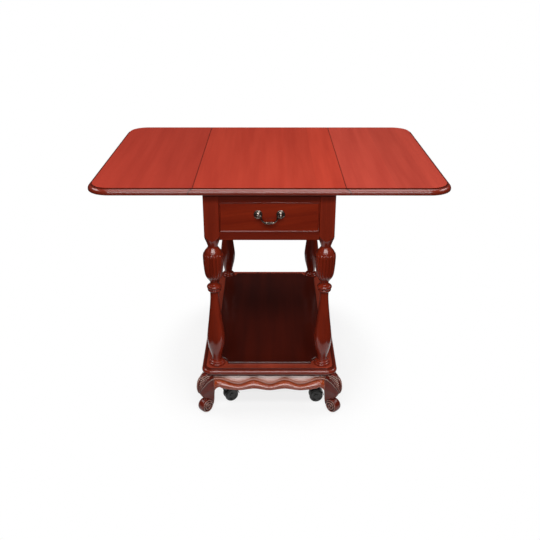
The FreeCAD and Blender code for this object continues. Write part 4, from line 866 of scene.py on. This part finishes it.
# The stays of the left side are those of the right turned half round, so y changes its sign there.
downwards = Matrix.Rotation(math.radians(180), 4, "X")
for side, way in (("left", -1), ("right", 1)):
    sideways = Matrix.Rotation(math.radians(90 * way), 4, "Y")
    screws(f"hinge_screws_fixed_{side}", "frame", [(way * FIXED_OUT, y, UNDERSIDE) for y in HINGE_SCREWS],
           downwards, "Z")
    screws(f"hinge_screws_{side}", f"leaf_{side}", [(way * MOVING_OUT, y, UNDERSIDE) for y in HINGE_SCREWS],
           downwards, "Z")
    screws(f"track_screws_{side}", f"leaf_{side}", [(way * x, way * y, TRACK_FOOT) for x, y in TRACK_SCREWS],
           downwards, "Z")
    screws(f"bracket_screws_{side}", "frame", [(way * BRACKET_FACE, way * y, z) for y, z in BRACKET_SCREWS],
           sideways, "X")

# ---------------------------------------------------------------- finishes of the rigid nodes

# Each finish with the starts of the names of the nodes that have it.
FINISHES = (
    (lacquered_top, "top_panel"), (lacquered_leaf_left, "leaf_left"), (lacquered_leaf_right, "leaf_right"),
    (lacquered_cross, "front_rail_", "back_rail", "drawer_cock_bead"), (lacquered_sides, "side_rail_"),
    (lacquered_drawer, "drawer_front"), (lacquered_base, "base_platform"), (lacquered_shelf, "shelf_panel"),
    (box_wood_long, "drawer_runners", "drawer_kickers", "drawer_side_"),
    (box_wood_cross, "drawer_stops", "drawer_bottom", "drawer_back"), (block_wood, "caster_blocks"),
    (antique_brass, "pull_nuts"), (plated_steel, "caster_sockets", "stay_"), (plated_hinge, "hinge_"),
    (black_nylon, "caster_hood_"), (black_tread, "caster_wheels_"),
)
for name, made in frame["nodes"].items():
    for finish, *starts in FINISHES:
        if name.startswith(tuple(starts)):
            made.data.materials.clear()
            made.data.materials.append(finish)

# ---------------------------------------------------------------- floor, light


def floor_paper():
    """Matt paper that fades to plain white away from the trolley, and keeps its shadow near it."""
    paper = bpy.data.materials.new("white_floor_paper")
    paper.use_nodes = True
    tree = paper.node_tree
    tree.nodes.clear()
    ray = add(tree, "LightPath").outputs
    seen = add(tree, "Math", {0: ray["Is Camera Ray"], 1: ray["Is Glossy Ray"]}, operation="ADD").outputs[0]
    seen = add(tree, "Math", {0: seen, 1: ray["Is Transmission Ray"]}, operation="ADD", use_clamp=True)
    seen = seen.outputs[0]
    sheet = add(tree, "BsdfDiffuse", {"Color": linear("#7C7C7C")})
    glow = add(tree, "Math", {0: seen, 1: 0.80}, operation="MULTIPLY").outputs[0]
    lit = add(tree, "Emission", {"Color": (1, 1, 1, 1), "Strength": glow})
    near = add(tree, "AddShader", {0: sheet.outputs[0], 1: lit.outputs[0]})
    place = add(tree, "TexCoord").outputs["Object"]
    away = add(tree, "Mapping", {"Vector": place, "Scale": (1.25, 1, 1)}).outputs[0]
    away = add(tree, "VectorMath", {0: away}, operation="LENGTH").outputs["Value"]
    fade = add(tree, "MapRange", {0: away, 1: 0.36, 2: 0.56}, interpolation_type="SMOOTHSTEP").outputs[0]
    fade = add(tree, "Math", {0: fade, 1: seen}, operation="MULTIPLY").outputs[0]
    white = add(tree, "Emission", {"Color": (1, 1, 1, 1), "Strength": 1})
    whole = add(tree, "MixShader", {0: fade, 1: near.outputs[0], 2: white.outputs[0]})
    tree.links.new(whole.outputs[0], add(tree, "OutputMaterial").inputs[0])
    return paper


def floor(wide, deep):
    mesh = bpy.data.meshes.new("floor")
    corners = [(-wide, -deep, 0), (wide, -deep, 0), (wide, deep, 0), (-wide, deep, 0)]
    mesh.from_pydata(corners, [], [(0, 1, 2, 3)])
    mesh.materials.append(floor_paper())
    made = bpy.data.objects.new("floor", mesh)
    bpy.context.scene.collection.objects.link(made)


def studio():
    """White for the camera; the faintest grey for everything else, so that the dark lacquer isn't veiled."""
    world = bpy.data.worlds.new("studio")
    bpy.context.scene.world = world
    world.use_nodes = True
    tree = world.node_tree
    tree.nodes.clear()
    dim = add(tree, "Background", {"Color": (1, 1, 1, 1), "Strength": 0.02}).outputs[0]
    white = add(tree, "Background", {"Color": (1, 1, 1, 1), "Strength": 1}).outputs[0]
    seen = add(tree, "LightPath").outputs["Is Camera Ray"]
    whole = add(tree, "MixShader", {0: seen, 1: dim, 2: white})
    tree.links.new(whole.outputs[0], add(tree, "OutputWorld").inputs[0])


def softbox(name, spot, aim, wide, deep, power):
    lamp = bpy.data.lights.new(name, "AREA")
    lamp.shape = "RECTANGLE"
    lamp.size, lamp.size_y, lamp.energy = wide, deep, power
    made = bpy.data.objects.new(name, lamp)
    bpy.context.scene.collection.objects.link(made)
    made.location = spot
    made.rotation_euler = (Vector(aim) - Vector(spot)).to_track_quat("-Z", "Y").to_euler()


floor(0.46, 0.58)
studio()
softbox("overhead_softbox", (0.1, 0.55, 3.0), (0, 0.15, 0.5), 2.4, 2.1, 59)
softbox("front_softbox", (0, -2.2, 2.9), (0, -0.3, 0.6), 2.6, 0.62, 54)
softbox("middle_strip", (0, -3.1, 2.2), (0, -0.3, 0.4), 2.6, 0.28, 27)
softbox("low_strip", (0, -3.4, 0.6), (0, -0.3, 0.4), 2.6, 0.12, 8)
softbox("left_softbox", (-2.3, 0.3, 2.5), (0, 0.1, 0.4), 2.0, 0.9, 26)
softbox("right_softbox", (2.3, 0.3, 2.5), (0, 0.1, 0.4), 2.0, 0.9, 26)
